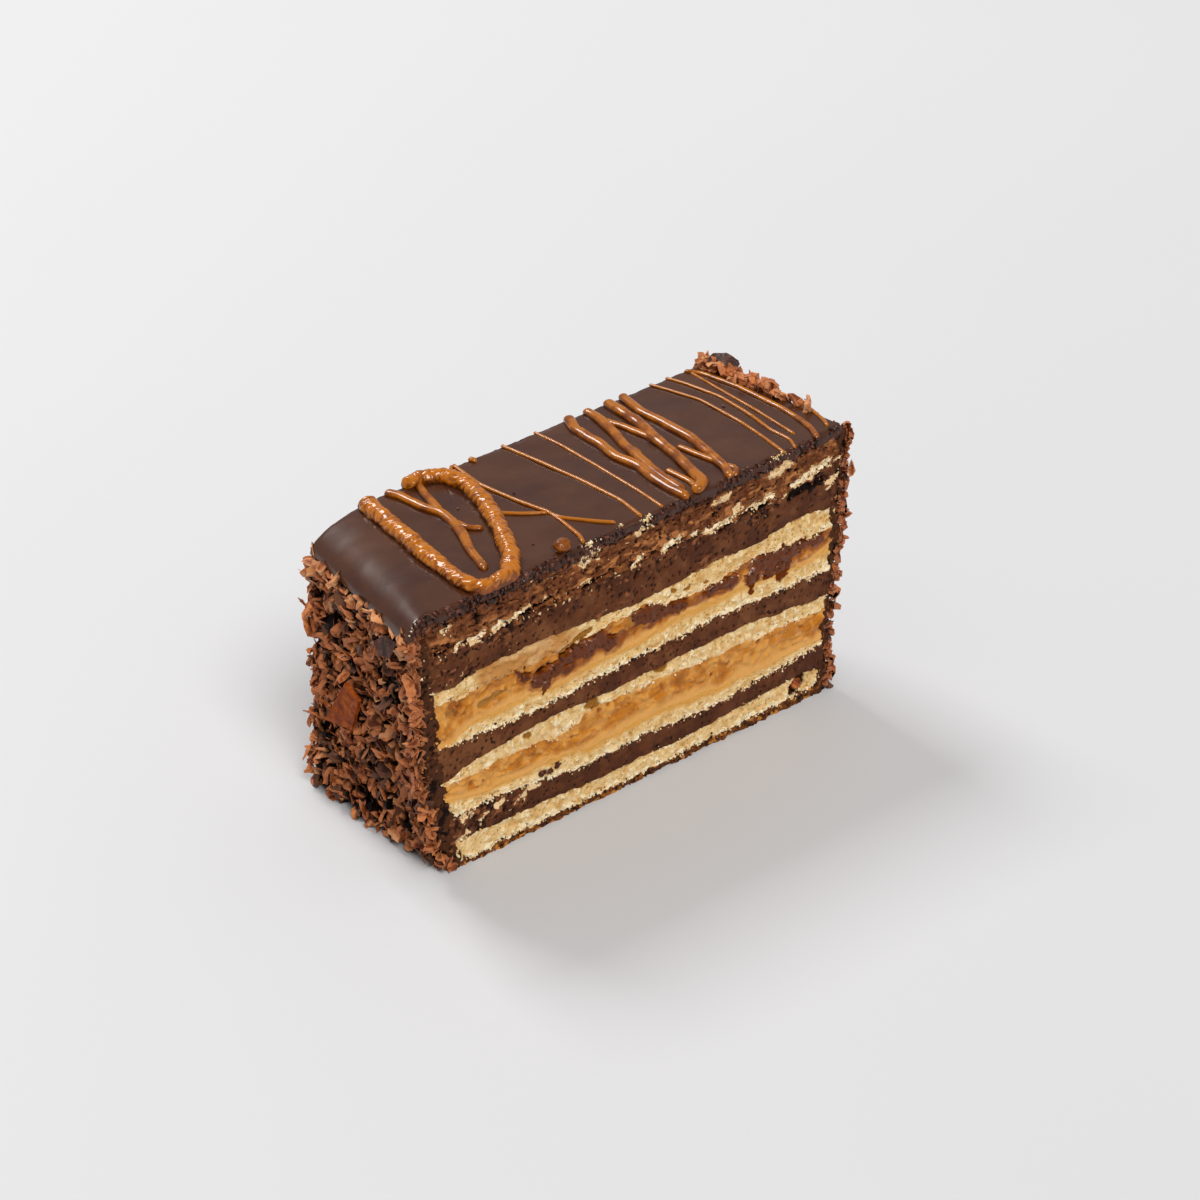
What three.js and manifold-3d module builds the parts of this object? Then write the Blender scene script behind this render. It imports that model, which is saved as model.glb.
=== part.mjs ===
// A bar slice of dobos torte, standing as it was cut: thin sponge sheets with chocolate cream and
// caramel between them, a poured chocolate glaze with a caramel drizzle on top, and chocolate
// shavings pressed onto both short ends. Millimetres, +Z up; the origin is under the middle of
// the slice. X runs along the slice, and the cut face with the clearest layers looks along -Y.
import * as THREE from 'three';
import { mergeVertices } from 'three/addons/utils/BufferGeometryUtils.js';
import Module from 'manifold-3d';

const wasm = await Module();
wasm.setup();

// ---- Driving dimensions ------------------------------------------------------------------
const WIDTH = 47; // between the two knife cuts
const NEAR_FOOT = 2; // where the layers start at the foot of the near end
const NEAR_LEAN_AT_CUT = -8.5; // how far that end leans out at the top, at the shown cut
const NEAR_LEAN_AT_BACK = 3.5; // and at the hidden cut, where it leans in
const FAR_FOOT = 109.5; // where the layers stop at the foot of the far end
const FAR_LEAN = 3.8;
const LEAN_HEIGHT = 64; // the leans are measured at this height
const BACK_SAG = 0.035; // the far corner at the hidden cut is this share lower
const GAP = 0.3; // between pieces that touch
const SHORTEST_EDGE = 0.03; // after joining pieces into one body

const GLAZE_THICKNESS = 1.9;
const GLAZE_TOP = [63.5, 64.9, 66.9]; // height at the near end, the middle and the far end
const LIP_AT_CUT = { edge: -9, reach: 5, drop: 4.2 }; // the glaze rolls over the near end
const LIP_AT_BACK = { edge: 2, reach: 22, drop: 7 };

const SHEET_STEPS = [27, 8]; // of the glaze's mesh, along and across
const ROLL_SHARE = 0.22; // share of the steps along that lie in the rolled lip
const GLAZE_OVERHANG = 0.2; // out of each cut face
const CUTTER_OVERHANG = 1.5; // of the body that keeps the crust clear of the glaze

const CRUST_THICKNESS = 1.7; // chocolate that holds the shavings on each end
const CRAG = 1.5; // how much further its lumps stand out
const CRAG_AT_CUT = 0.25; // share of that beside a cut face
const CRAG_SLOPE = 6; // how fast the share grows, for each width of the slice
const RAGGED_TOP = 1.4; // how far the crust's top edge drops in places
const FAR_CRUST_RISE = 1.6; // above the glaze at the far end
const FLAKE = {
  length: [5, 8],
  width: [2.8, 4.6],
  thickness: [0.8, 1.3],
  lean: [0.2, 0.85], // how steeply one stands out from the end
  curl: 0.9, // the most that one bends
  tilt: 0.9, // how far its broad side turns away from the end's
  taper: 0.45, // how much narrower its far tip is
  broadest: 0.4, // the share of its length where it is broadest
  raggedSide: 0.3,
  raggedTip: 0.5,
};
const FLAKE_GRID = {
  columns: 7,
  rows: 10,
  stagger: [0.3, 0.7], // places within a column, in even and in odd rows
  rowPlace: 0.35, // place within a row
  scatter: [0.5, 0.4], // random share of a column and of a row
  behind: 0.35, // share of a flake's length that lies behind its place
};

// Each layer from the plate up: thickness at the near end, the middle and the far end, how far
// its cut face bulges out, and its finish.
const LAYERS = [
  { name: 'browned_base', thick: [1.5, 1.5, 2.3], bulge: 0.1, finish: 'base' },
  { name: 'sponge_5', thick: [4.8, 4.4, 4.3], bulge: -0.2, finish: 'sponge' },
  { name: 'chocolate_cream_3', thick: [6.9, 4.7, 6.0], bulge: 0.3, finish: 'cream' },
  { name: 'sponge_4', thick: [3.9, 4.8, 1.8], bulge: -0.2, finish: 'sponge' },
  { name: 'caramel_2', thick: [4.3, 7.8, 7.4], bulge: 0.4, finish: 'caramel' },
  { name: 'sponge_3', thick: [2.6, 3.6, 3.8], bulge: -0.2, finish: 'sponge' },
  { name: 'chocolate_cream_2', thick: [6.4, 5.2, 6.2], bulge: 0.3, finish: 'cream' },
  { name: 'sponge_2', thick: [3.6, 3.8, 5.6], bulge: -0.2, finish: 'sponge' },
  { name: 'caramel_1', thick: [6.8, 6.6, 5.0], bulge: 0.4, finish: 'caramel' },
  { name: 'sponge_1', thick: [5.2, 3.1, 6.0], bulge: -0.2, finish: 'sponge' },
  { name: 'chocolate_cream_1', thick: [8.2, 9.5, 10.4], bulge: 0.3, finish: 'cream' },
  { name: 'crumbled_sponge', thick: [1.2, 1.3, 1.6], bulge: 0.1, finish: 'sponge' },
  { name: 'chocolate_crumb', thick: [6.2, 6.7, 4.6], bulge: 0.2, finish: 'crumb' },
];
const LENGTH_STEPS = 22;
const CUT_UNEVENNESS = 0.25;
const RIPPLE = 0.35; // how far the meeting lines between the layers wave up and down
const WAVES = [ // count along the slice, shift across it, start of each line, share of RIPPLE
  { count: 2.6, shift: 0.12, start: 0.618, share: 1 },
  { count: 5.7, shift: 0.05, start: 1.421, share: 0.6 },
];

// Caramel poured over the glaze: radius of each rope, and the bends of its path as X and Y
// from the foot of the near end at the shown cut.
const DRIZZLE = [
  { radius: 2.0, path: [[16.5, 46.5], [13.2, 30], [11.2, 17.5], [10.6, 6.5], [12, 1.5]] },
  { radius: 1.9, path: [[32.5, 46.5], [37, 41.5], [35, 28.5], [29.5, 17], [22, 6.5], [14, 2]] },
  { radius: 1.3, path: [[23, 46.5], [24.5, 33], [24, 24], [20, 14.5], [16, 5]] },
  { radius: 1.3, path: [[74, 46.5], [70.8, 35], [69.3, 21], [67.3, 2]] },
  { radius: 1.2, path: [[79.2, 46.5], [75.8, 33], [72.4, 20.5], [69.4, 9]] },
  { radius: 1.4, path: [[85.4, 46.5], [83.2, 33], [79, 17], [74, 3.5], [69.8, 1.6]] },
  { radius: 1.2, path: [[90, 46.5], [87.4, 31], [84.2, 11.5], [80, 1.6]] },
  { radius: 0.8, path: [[110.6, 44], [111.2, 31], [109.4, 13], [106.4, 2]] },
];
const ROPE_SIDES = 6;
const ROPE_STEP = 4.5; // length of rope between two rings
const ROPE_RISE = 0.3; // share of the radius that the rope's middle lies above the glaze
const ROPE_FLATNESS = 0.75; // height for each width
const ROPE_UNEVENNESS = 0.12;
const ROPE_TIP = 0.6; // width of its two ends for each width of the rope

// ---- Helpers -----------------------------------------------------------------------------
const lerp = THREE.MathUtils.lerp;

/** A repeatable stream of random numbers from 0 to 1. */
function randomStream(seed) {
  let state = seed;
  return () => {
    state = (state + 0x6d2b79f5) | 0;
    let mixed = Math.imul(state ^ (state >>> 15), 1 | state);
    mixed = (mixed + Math.imul(mixed ^ (mixed >>> 7), 61 | mixed)) ^ mixed;
    return ((mixed ^ (mixed >>> 14)) >>> 0) / 4294967296;
  };
}

/** A smooth curve through values at the start, the middle and the end, with t from 0 to 1. */
function throughThree([start, middle, end], t) {
  return start * (1 - t) * (1 - 2 * t) + middle * 4 * t * (1 - t) + end * t * (2 * t - 1);
}

/** Reshapes a closed unit-size geometry: place gives the point for each corner of it. */
function reshape(geometry, place) {
  geometry.deleteAttribute('normal');
  geometry.deleteAttribute('uv');
  const welded = mergeVertices(geometry);
  const corners = welded.attributes.position;
  const corner = new THREE.Vector3();
  for (let i = 0; i < corners.count; i += 1) {
    corner.fromBufferAttribute(corners, i).addScalar(0.5);
    const placed = place(corner.x, corner.y, corner.z);
    corners.setXYZ(i, placed.x, placed.y, placed.z);
  }
  return welded;
}

function toSolid(geometry) {
  return new wasm.Manifold(new wasm.Mesh({
    numProp: 3,
    vertProperties: Float32Array.from(geometry.attributes.position.array),
    triVerts: Uint32Array.from(geometry.index.array),
  }));
}

/** The largest connected body of a solid, so that no cut-off scrap stays. */
function largestBody(solid) {
  const bodies = solid.decompose();
  return bodies.reduce((best, body) => (body.volume() > best.volume() ? body : best));
}

/** Back to a geometry, without edges too short to matter. */
function fromSolid(solid) {
  const mesh = solid.simplify(SHORTEST_EDGE).getMesh();
  const geometry = new THREE.BufferGeometry();
  geometry.setAttribute('position', new THREE.BufferAttribute(mesh.vertProperties, 3));
  geometry.setIndex(new THREE.BufferAttribute(mesh.triVerts, 1));
  return geometry;
}

// ---- The slice's own shape ----------------------------------------------------------------
/** X of the layers' near and far ends, at a place across the slice and a height. */
function nearEnd(y, z) {
  const lean = lerp(NEAR_LEAN_AT_CUT, NEAR_LEAN_AT_BACK, y / WIDTH);
  return NEAR_FOOT + (lean * z) / LEAN_HEIGHT;
}

function farEnd(y, z) {
  return FAR_FOOT + (FAR_LEAN * z) / LEAN_HEIGHT;
}

/** The near end for a side of -1, and the far end for a side of 1. */
function layersEnd(side, y, z) {
  return side < 0 ? nearEnd(y, z) : farEnd(y, z);
}

/** Height of the meeting line on top of a layer; along and across run from 0 to 1. */
function level(index, along, across) {
  let height = 0;
  for (const layer of LAYERS.slice(0, index)) {
    height += throughThree(layer.thick, along);
  }
  let wave = 0;
  for (const { count, shift, start, share } of WAVES) {
    wave += share * Math.sin(2 * Math.PI * (count * along + shift * across + start * index));
  }
  const ripple = index === 0 ? 0 : RIPPLE * wave;
  return height * (1 - BACK_SAG * across * along) + ripple;
}

/** How the glaze rolls over the near end, at a place across the slice. */
function lip(across) {
  return {
    edge: lerp(LIP_AT_CUT.edge, LIP_AT_BACK.edge, across),
    reach: lerp(LIP_AT_CUT.reach, LIP_AT_BACK.reach, across),
    drop: lerp(LIP_AT_CUT.drop, LIP_AT_BACK.drop, across),
  };
}

/** Height of the glaze's flat top, before it rolls over the end. */
function glazeTop(x, across) {
  const along = THREE.MathUtils.clamp((x - NEAR_FOOT) / (FAR_FOOT - NEAR_FOOT), 0, 1.05);
  return throughThree(GLAZE_TOP, along) * (1 - BACK_SAG * across * along);
}

/** Height of the glaze's surface, or of a surface that lies depth under it. */
function glazeSurface(x, across, depth) {
  const { edge, reach, drop } = lip(across);
  const flat = glazeTop(x, across);
  const turn = THREE.MathUtils.clamp((edge + reach - x) / (reach - depth), 0, 1);
  return flat - drop + (drop - depth) * Math.sqrt(1 - turn * turn);
}

// ---- Layers -------------------------------------------------------------------------------
function layerGeometry(index) {
  const layer = LAYERS[index];
  const random = randomStream(100 + index);
  const isTop = index === LAYERS.length - 1;
  return reshape(new THREE.BoxGeometry(1, 1, 1, LENGTH_STEPS, 1, 2), (along, across, up) => {
    const lower = level(index, along, across) + (index === 0 ? 0 : GAP / 2);
    let upper = level(index + 1, along, across) - GAP / 2;
    if (isTop) {
      const x = lerp(nearEnd(across * WIDTH, upper), farEnd(across * WIDTH, upper), along);
      upper = glazeSurface(x, across, GLAZE_THICKNESS) - GAP;
    }
    const z = lerp(lower, upper, up);
    const bulge = up === 0.5 ? layer.bulge : 0;
    const outward = bulge + CUT_UNEVENNESS * (random() - 0.5);
    const y = across * WIDTH + (across < 0.5 ? -outward : outward);
    return new THREE.Vector3(lerp(nearEnd(y, z), farEnd(y, z), along), y, z);
  });
}

// ---- Glaze and drizzle --------------------------------------------------------------------
/** The glaze sheet, or with grow a body that is that much fatter, for cutting. */
function glazeSheet(grow, overhang) {
  return reshape(new THREE.BoxGeometry(1, 1, 1, ...SHEET_STEPS, 1), (along, across, up) => {
    const y = lerp(-overhang, WIDTH + overhang, across);
    const { edge, reach, drop } = lip(across);
    const inset = up === 1 ? -grow : GLAZE_THICKNESS + grow;
    if (along < ROLL_SHARE) {
      const angle = (1 - along / ROLL_SHARE) * (Math.PI / 2);
      const x = edge + reach - (reach - inset) * Math.sin(angle);
      const z = glazeTop(x, across) - drop + (drop - inset) * Math.cos(angle);
      return new THREE.Vector3(x, y, z);
    }
    const share = (along - ROLL_SHARE) / (1 - ROLL_SHARE);
    const x = lerp(edge + reach, farEnd(y, GLAZE_TOP[2]) + grow, share);
    return new THREE.Vector3(x, y, glazeTop(x, across) - inset);
  });
}

/** A rope of caramel that follows a path on top of the glaze. */
function ropeGeometry({ radius, path }) {
  const bends = path.map(([x, y]) => {
    const z = glazeSurface(x, y / WIDTH, 0) + radius * ROPE_RISE;
    return new THREE.Vector3(x, y, z);
  });
  const curve = new THREE.CatmullRomCurve3(bends);
  const steps = Math.ceil(curve.getLength() / ROPE_STEP);
  const random = randomStream(Math.round(radius * 100 + path.length));
  const rope = new THREE.CylinderGeometry(0.5, 0.5, 1, ROPE_SIDES, steps);
  const up = new THREE.Vector3(0, 0, 1);
  return reshape(rope, (a, run, b) => {
    const centre = curve.getPointAt(run);
    const tangent = curve.getTangentAt(run);
    const sideways = new THREE.Vector3().crossVectors(tangent, up).normalize();
    const taper = run === 0 || run === 1 ? ROPE_TIP : 1;
    const size = 2 * radius * taper * (1 + ROPE_UNEVENNESS * (random() - 0.5));
    centre.addScaledVector(sideways, (a - 0.5) * size);
    return centre.addScaledVector(up, (b - 0.5) * size * ROPE_FLATNESS);
  });
}

function glazeGeometry() {
  const parts = [toSolid(glazeSheet(0, GLAZE_OVERHANG))];
  for (const rope of DRIZZLE) {
    parts.push(toSolid(ropeGeometry(rope)));
  }
  return fromSolid(largestBody(wasm.Manifold.union(parts)));
}

// ---- Shavings on the ends -----------------------------------------------------------------
/** One bent shaving. It starts at root, and runs along direction with its broad side facing. */
function flakeGeometry({ root, direction, facing, length, width, thickness, curl }, random) {
  const forward = direction.clone().normalize();
  const sideways = new THREE.Vector3().crossVectors(facing, forward).normalize();
  const outward = new THREE.Vector3().crossVectors(forward, sideways);
  return reshape(new THREE.BoxGeometry(1, 1, 1, 2, 1, 1), (run, side, up) => {
    const taper = 1 - FLAKE.taper * Math.abs(run - FLAKE.broadest);
    const across = (side - 0.5) * width * taper + FLAKE.raggedSide * (random() - 0.5);
    const height = (up - 0.5) * thickness + curl * (4 * run * (1 - run) - 1);
    return root.clone()
      .addScaledVector(forward, run * length + FLAKE.raggedTip * (random() - 0.5))
      .addScaledVector(sideways, across)
      .addScaledVector(outward, height);
  });
}

/** The room of the layers, grown by the gap; it keeps the shavings off the other pieces. */
function insideOfEnds() {
  const beyond = 6; // past the cuts and the underside
  return reshape(new THREE.BoxGeometry(1, 1, 1, 1, 6, 1), (along, across, up) => {
    const y = lerp(-beyond, WIDTH + beyond, across);
    const { edge, drop } = lip(across);
    const top = along === 0 ? glazeTop(edge, across) - drop : glazeTop(FAR_FOOT, across) + GAP;
    const z = up === 0 ? -beyond : top;
    const x = along === 0 ? nearEnd(y, z) - GAP : farEnd(y, z) + GAP;
    return new THREE.Vector3(x, y, z);
  });
}

/** The room above the floor and, but for the gap, between the cuts, longer than the slice. */
function betweenCuts() {
  return reshape(new THREE.BoxGeometry(1, 1, 1), (along, across, up) => new THREE.Vector3(
    lerp(-FAR_FOOT, 2 * FAR_FOOT, along),
    lerp(-GAP, WIDTH + GAP, across),
    2 * LEAN_HEIGHT * up,
  ));
}

/** The crust that holds the shavings; side is -1 at the near end and 1 at the far end. */
function crustGeometry(side, random) {
  const { columns, rows } = FLAKE_GRID;
  const outer = side < 0 ? 0 : 1;
  return reshape(new THREE.BoxGeometry(1, 1, 1, 1, columns, rows), (along, across, up) => {
    const y = across * WIDTH;
    const drop = up === 1 ? RAGGED_TOP * random() : 0;
    const z = up * crustTop(side, across) - drop;
    const crag = CRAG * Math.min(1, CRAG_AT_CUT + CRAG_SLOPE * Math.min(across, 1 - across));
    const thickness = along === outer ? CRUST_THICKNESS + crag * random() : 0;
    return new THREE.Vector3(layersEnd(side, y, z) + side * (GAP + thickness), y, z);
  });
}

/** Height of the top of the crust, just under the glaze's lip or just over its far edge. */
function crustTop(side, across) {
  if (side > 0) {
    return glazeTop(FAR_FOOT, across) + FAR_CRUST_RISE;
  }
  const { edge, drop } = lip(across);
  return glazeTop(edge, across) - drop - GAP;
}

/** Shavings in staggered rows over one end, each turned and leaning out by a random draw. */
function shavings(side, random) {
  const { columns, rows, stagger, rowPlace, scatter, behind } = FLAKE_GRID;
  const between = ([low, high]) => lerp(low, high, random());
  const spread = (width) => width * (random() - 0.5);
  const flakes = [];
  for (let row = 0; row < rows; row += 1) {
    for (let column = 0; column < columns; column += 1) {
      const across = (column + stagger[row % 2] + spread(scatter[0])) / columns;
      const up = (row + rowPlace + spread(scatter[1])) / rows;
      const z = up * crustTop(side, across);
      const y = across * WIDTH;
      const turn = 2 * Math.PI * random();
      const length = between(FLAKE.length);
      const inPlane = new THREE.Vector3(0, Math.cos(turn), Math.sin(turn));
      const root = new THREE.Vector3(layersEnd(side, y, z), y, z);
      root.x += side * (GAP + CRUST_THICKNESS);
      root.addScaledVector(inPlane, -behind * length);
      const direction = inPlane.clone().setX(side * between(FLAKE.lean));
      flakes.push(flakeGeometry({
        root,
        direction,
        facing: new THREE.Vector3(side, spread(FLAKE.tilt), spread(FLAKE.tilt)),
        length,
        width: between(FLAKE.width),
        thickness: between(FLAKE.thickness),
        curl: FLAKE.curl * random(),
      }, random));
    }
  }
  return flakes;
}

// The two pieces that stand out by their size: a broad shard on the near end, and a chunk on
// the top corner of the far end.
const SHARD = {
  root: new THREE.Vector3(-3.8, 30, 25.5),
  direction: new THREE.Vector3(-0.05, -0.5, 0.86),
  facing: new THREE.Vector3(-1, 0.1, -0.1),
  length: 12.5,
  width: 7.5,
  thickness: 1.3,
  curl: 0.2,
};
const CHUNK = {
  root: new THREE.Vector3(114.6, 46, 66.2),
  direction: new THREE.Vector3(0.1, -1, 0.1),
  facing: new THREE.Vector3(0.3, 0, 1),
  length: 8,
  width: 3.4,
  thickness: 3,
  curl: 0.3,
};

/** Crust and shavings of one end as one body, with the piece that stands out there. */
function endGeometry(side, extra, seed) {
  const random = randomStream(seed);
  const pieces = [crustGeometry(side, random), ...shavings(side, random)];
  pieces.push(flakeGeometry(extra, random));
  const crust = wasm.Manifold.union(pieces.map(toSolid))
    .intersect(toSolid(betweenCuts()))
    .subtract(toSolid(insideOfEnds()))
    .subtract(toSolid(glazeSheet(GAP, GLAZE_OVERHANG + CUTTER_OVERHANG)));
  return fromSolid(largestBody(crust));
}

// ---- Finishes and assembly ----------------------------------------------------------------
const FINISHES = {
  base: { color: '#5a3218', roughness: 0.9 },
  sponge: { color: '#e6c98a', roughness: 0.95 },
  cream: { color: '#4c3126', roughness: 0.55 },
  caramel: { color: '#cf9148', roughness: 0.35 },
  crumb: { color: '#553528', roughness: 0.8 },
  glaze: { color: '#40281f', roughness: 0.22 },
  shavings: { color: '#7a4934', roughness: 0.6 },
};

const slice = new THREE.Group();

function addPiece(name, geometry, finish) {
  const faceted = geometry.toNonIndexed();
  faceted.computeVertexNormals();
  const material = new THREE.MeshStandardMaterial({ ...FINISHES[finish], metalness: 0 });
  const mesh = new THREE.Mesh(faceted, material);
  mesh.name = name;
  slice.add(mesh);
}

LAYERS.forEach((layer, index) => addPiece(layer.name, layerGeometry(index), layer.finish));
addPiece('chocolate_glaze', glazeGeometry(), 'glaze');
addPiece('shavings_near_end', endGeometry(-1, SHARD, 3), 'shavings');
addPiece('shavings_far_end', endGeometry(1, CHUNK, 21), 'shavings');

// Stand the slice over the origin.
const extent = new THREE.Box3().setFromObject(slice);
const middle = extent.getCenter(new THREE.Vector3());
slice.position.set(-middle.x, -middle.y, -extent.min.z);

export default slice;
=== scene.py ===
import itertools
import math

import bpy
import numpy as np
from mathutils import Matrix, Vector


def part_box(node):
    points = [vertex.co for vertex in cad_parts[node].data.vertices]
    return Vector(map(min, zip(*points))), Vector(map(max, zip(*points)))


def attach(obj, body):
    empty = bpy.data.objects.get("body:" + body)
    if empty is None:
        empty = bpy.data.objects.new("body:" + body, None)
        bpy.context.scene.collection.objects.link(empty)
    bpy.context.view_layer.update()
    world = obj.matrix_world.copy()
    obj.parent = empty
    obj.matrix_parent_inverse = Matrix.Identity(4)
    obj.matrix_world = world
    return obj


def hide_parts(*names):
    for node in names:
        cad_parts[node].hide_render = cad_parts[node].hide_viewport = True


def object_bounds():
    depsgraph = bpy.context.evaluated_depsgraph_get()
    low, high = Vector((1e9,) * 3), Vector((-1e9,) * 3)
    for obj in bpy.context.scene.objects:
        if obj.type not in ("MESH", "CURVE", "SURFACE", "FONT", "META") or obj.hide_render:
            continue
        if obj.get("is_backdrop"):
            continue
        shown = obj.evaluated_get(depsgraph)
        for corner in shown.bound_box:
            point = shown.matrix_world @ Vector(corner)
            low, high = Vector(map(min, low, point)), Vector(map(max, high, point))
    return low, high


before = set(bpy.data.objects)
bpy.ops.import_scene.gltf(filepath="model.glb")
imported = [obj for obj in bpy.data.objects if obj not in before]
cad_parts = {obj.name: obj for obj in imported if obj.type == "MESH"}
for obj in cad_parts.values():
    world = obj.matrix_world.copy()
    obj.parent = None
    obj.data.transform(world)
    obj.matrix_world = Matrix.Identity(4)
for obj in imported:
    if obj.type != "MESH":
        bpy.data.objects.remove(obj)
CAD_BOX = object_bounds()

# A bar slice of dobos torte. Sizes are in millimetres in the slice's own axes: X from the foot
# of the near end along the slice, Y from the shown cut (0) to the hidden cut, Z up. in_frame()
# brings them to metres in the part's own frame.

# ---- Sizes that the frame has too --------------------------------------------------------
WIDTH = 47.0
NEAR_FOOT, FAR_FOOT = 2.0, 109.5
NEAR_LEAN = (-8.5, 3.5)  # at the shown cut and at the hidden cut
FAR_LEAN = 3.8
LEAN_HEIGHT = 64.0
BACK_SAG = 0.035
GLAZE_THICKNESS = 1.9
GLAZE_TOP = (63.5, 64.9, 66.9)
LIP_EDGE = (-9.0, 2.0)
LIP_REACH = (5.0, 22.0)
LIP_DROP = (4.2, 7.0)
FAR_CRUST_RISE = 1.6
LAYERS = [  # name, thickness at the near end, the middle and the far end, finish
    ("browned_base", (1.5, 1.5, 2.3), "base"),
    ("sponge_5", (4.8, 4.4, 4.3), "sponge"),
    ("chocolate_cream_3", (6.9, 4.7, 6.0), "cream"),
    ("sponge_4", (3.9, 4.8, 1.8), "sponge"),
    ("caramel_2", (4.3, 7.8, 7.4), "caramel"),
    ("sponge_3", (2.6, 3.6, 3.8), "sponge"),
    ("chocolate_cream_2", (6.4, 5.2, 6.2), "cream"),
    ("sponge_2", (3.6, 3.8, 5.6), "sponge"),
    ("caramel_1", (6.8, 6.6, 5.0), "caramel"),
    ("sponge_1", (5.2, 3.1, 6.0), "sponge"),
    ("chocolate_cream_1", (8.2, 9.5, 10.4), "cream"),
    ("crumbled_sponge", (1.2, 1.3, 1.6), "broken"),
    ("chocolate_crumb", (6.2, 6.7, 4.6), "crumb"),
]

# ---- Sizes of the looks -------------------------------------------------------------------
# Heights of the meeting lines on the shown cut, from the top of the base up, at STATIONS.
STATIONS = [-6, 1, 4, 9, 20, 31, 42, 54, 65, 77, 89, 101, 113]
SHOWN_LINES = [
    [1.5, 1.5, 1.5, 1.4, 1.5, 1.4, 1.6, 1.5, 1.8, 2.0, 2.2, 2.3, 2.3],
    [6.3, 6.3, 6.3, 6.4, 6.7, 6.1, 5.6, 6.0, 5.4, 6.3, 7.0, 7.2, 6.8],
    [13.1, 13.1, 13.3, 13.7, 12.8, 11.2, 10.4, 10.8, 10.8, 10.3, 10.8, 12.0, 13.0],
    [19.0, 18.0, 17.3, 16.2, 16.0, 15.8, 14.8, 15.9, 15.3, 14.6, 14.3, 14.2, 14.2],
    [22.0, 21.9, 21.7, 21.4, 22.2, 21.3, 24.1, 23.4, 23.6, 23.0, 22.4, 21.8, 21.7],
    [22.3, 22.4, 23.7, 25.1, 26.3, 26.9, 26.6, 26.5, 27.5, 27.3, 27.1, 26.0, 25.3],
    [31.0, 31.0, 30.9, 30.4, 30.3, 30.0, 31.1, 32.0, 32.0, 32.9, 32.1, 31.9, 31.7],
    [31.4, 31.4, 32.6, 34.5, 34.7, 34.2, 35.3, 35.8, 36.8, 37.5, 37.2, 36.5, 37.9],
    [40.6, 41.6, 41.0, 41.2, 41.5, 41.7, 42.2, 43.7, 41.3, 41.8, 43.6, 42.1, 41.8],
    [46.4, 44.8, 44.5, 46.0, 46.5, 46.6, 46.1, 45.2, 45.7, 46.8, 46.9, 48.9, 47.3],
    [53.6, 54.4, 53.8, 53.3, 54.2, 53.6, 54.6, 54.8, 55.4, 54.9, 55.1, 57.1, 59.6],
    [54.8, 55.6, 55.0, 54.5, 55.4, 54.9, 56.0, 56.2, 56.8, 56.3, 56.6, 58.8, 61.4],
]
CUT_GRID = {"sponge": 0.3, "broken": 0.3, "crumb": 0.32}  # spacing of the points on the cut faces
PLAIN_GRID = 0.36  # and on the smoother layers
CUT_LIMIT = 0.45  # nothing stands further out of a cut face
END_LIMIT = 0.2  # and no layer further out of its ends, under the shavings
LEAN_ROOM = 12  # how much longer than its foot a layer can be
SOLE_STEPS = 16  # steps across the rough underside
GLAZE_GRID = (230, 56, 4)  # steps along, across and through the glaze
ROLL_SHARE = 0.22  # the share of its steps along that lie on its roll
RIM_STEPS, RIM_WIDTH = 0.15, 2.6  # the share of its steps beside each cut, and how far they reach
BED_GRID = (16, 44, 150)  # steps out, across and up in the bed under the shavings
BED_OVERLAP = 2.2  # how far the bed reaches over the layers' ends, sunk below their cut faces
SIDE_LIMIT = 0.42  # no shaving stands further out of a cut
SAUCE_LIMIT = 0.32  # and no caramel runs further over the glaze's edge
BOX_MARGIN = 0.02  # how far inside the frame's box loose points stay
# Seeds: of the relief and how far they lie apart from layer to layer, for the marks that cross
# layers and for the hidden cut; then of the underside and of each kind of form.
SEED, LAYER_STEP, MARK_STEP, HIDDEN_STEP = 7, 40, 300, 1000
SOLE_SEED, PLATE_SEED, LINE_SEED, END_SEED = 90, 93, 300, 380
GLAZE_SEED, STRAND_SEED, BED_SEED = 400, 500, 600
FILLING_TINT = {  # how light each filling is
    "chocolate_cream_3": 0.2, "caramel_2": 0.62, "chocolate_cream_2": 0.45, "caramel_1": 0.34,
    "chocolate_cream_1": 0.5}

# Marks on the cut faces, as strokes: X and Z of both ends, and half their height.
SHOWN_RUNS = [  # chocolate that has run into the upper caramel, and drips of it on the sponge
    (20.2, 41.0, 21.8, 38.4, 1.1), (24.7, 36.8, 33.2, 38.0, 1.4), (33.2, 38.0, 42.1, 39.6, 1.8),
    (42.1, 39.4, 46.4, 37.8, 1.2), (27.9, 36.0, 27.1, 33.6, 0.8),
    (53.4, 40.6, 59.0, 40.2, 1.3), (59.0, 40.2, 66.6, 39.3, 0.9), (72.0, 39.3, 81.3, 39.9, 1.0),
    (87.2, 38.0, 89.6, 41.0, 1.5), (89.2, 40.4, 96.0, 40.9, 2.0), (96.0, 40.9, 107.2, 41.0, 1.5),
    (87.6, 38.4, 86.6, 35.4, 0.8), (97.2, 39.2, 96.4, 36.4, 1.7), (92.2, 39.4, 91.4, 37.0, 1.4),
]
RUN_LAYERS = ("sponge_2", "caramel_1", "sponge_1")
HIDDEN_RUNS = [(9, 38.2, 18, 38.8, 1.6), (41, 38.6, 57, 39.4, 1.9), (77, 39.6, 89, 39.3, 1.6)]
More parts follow.
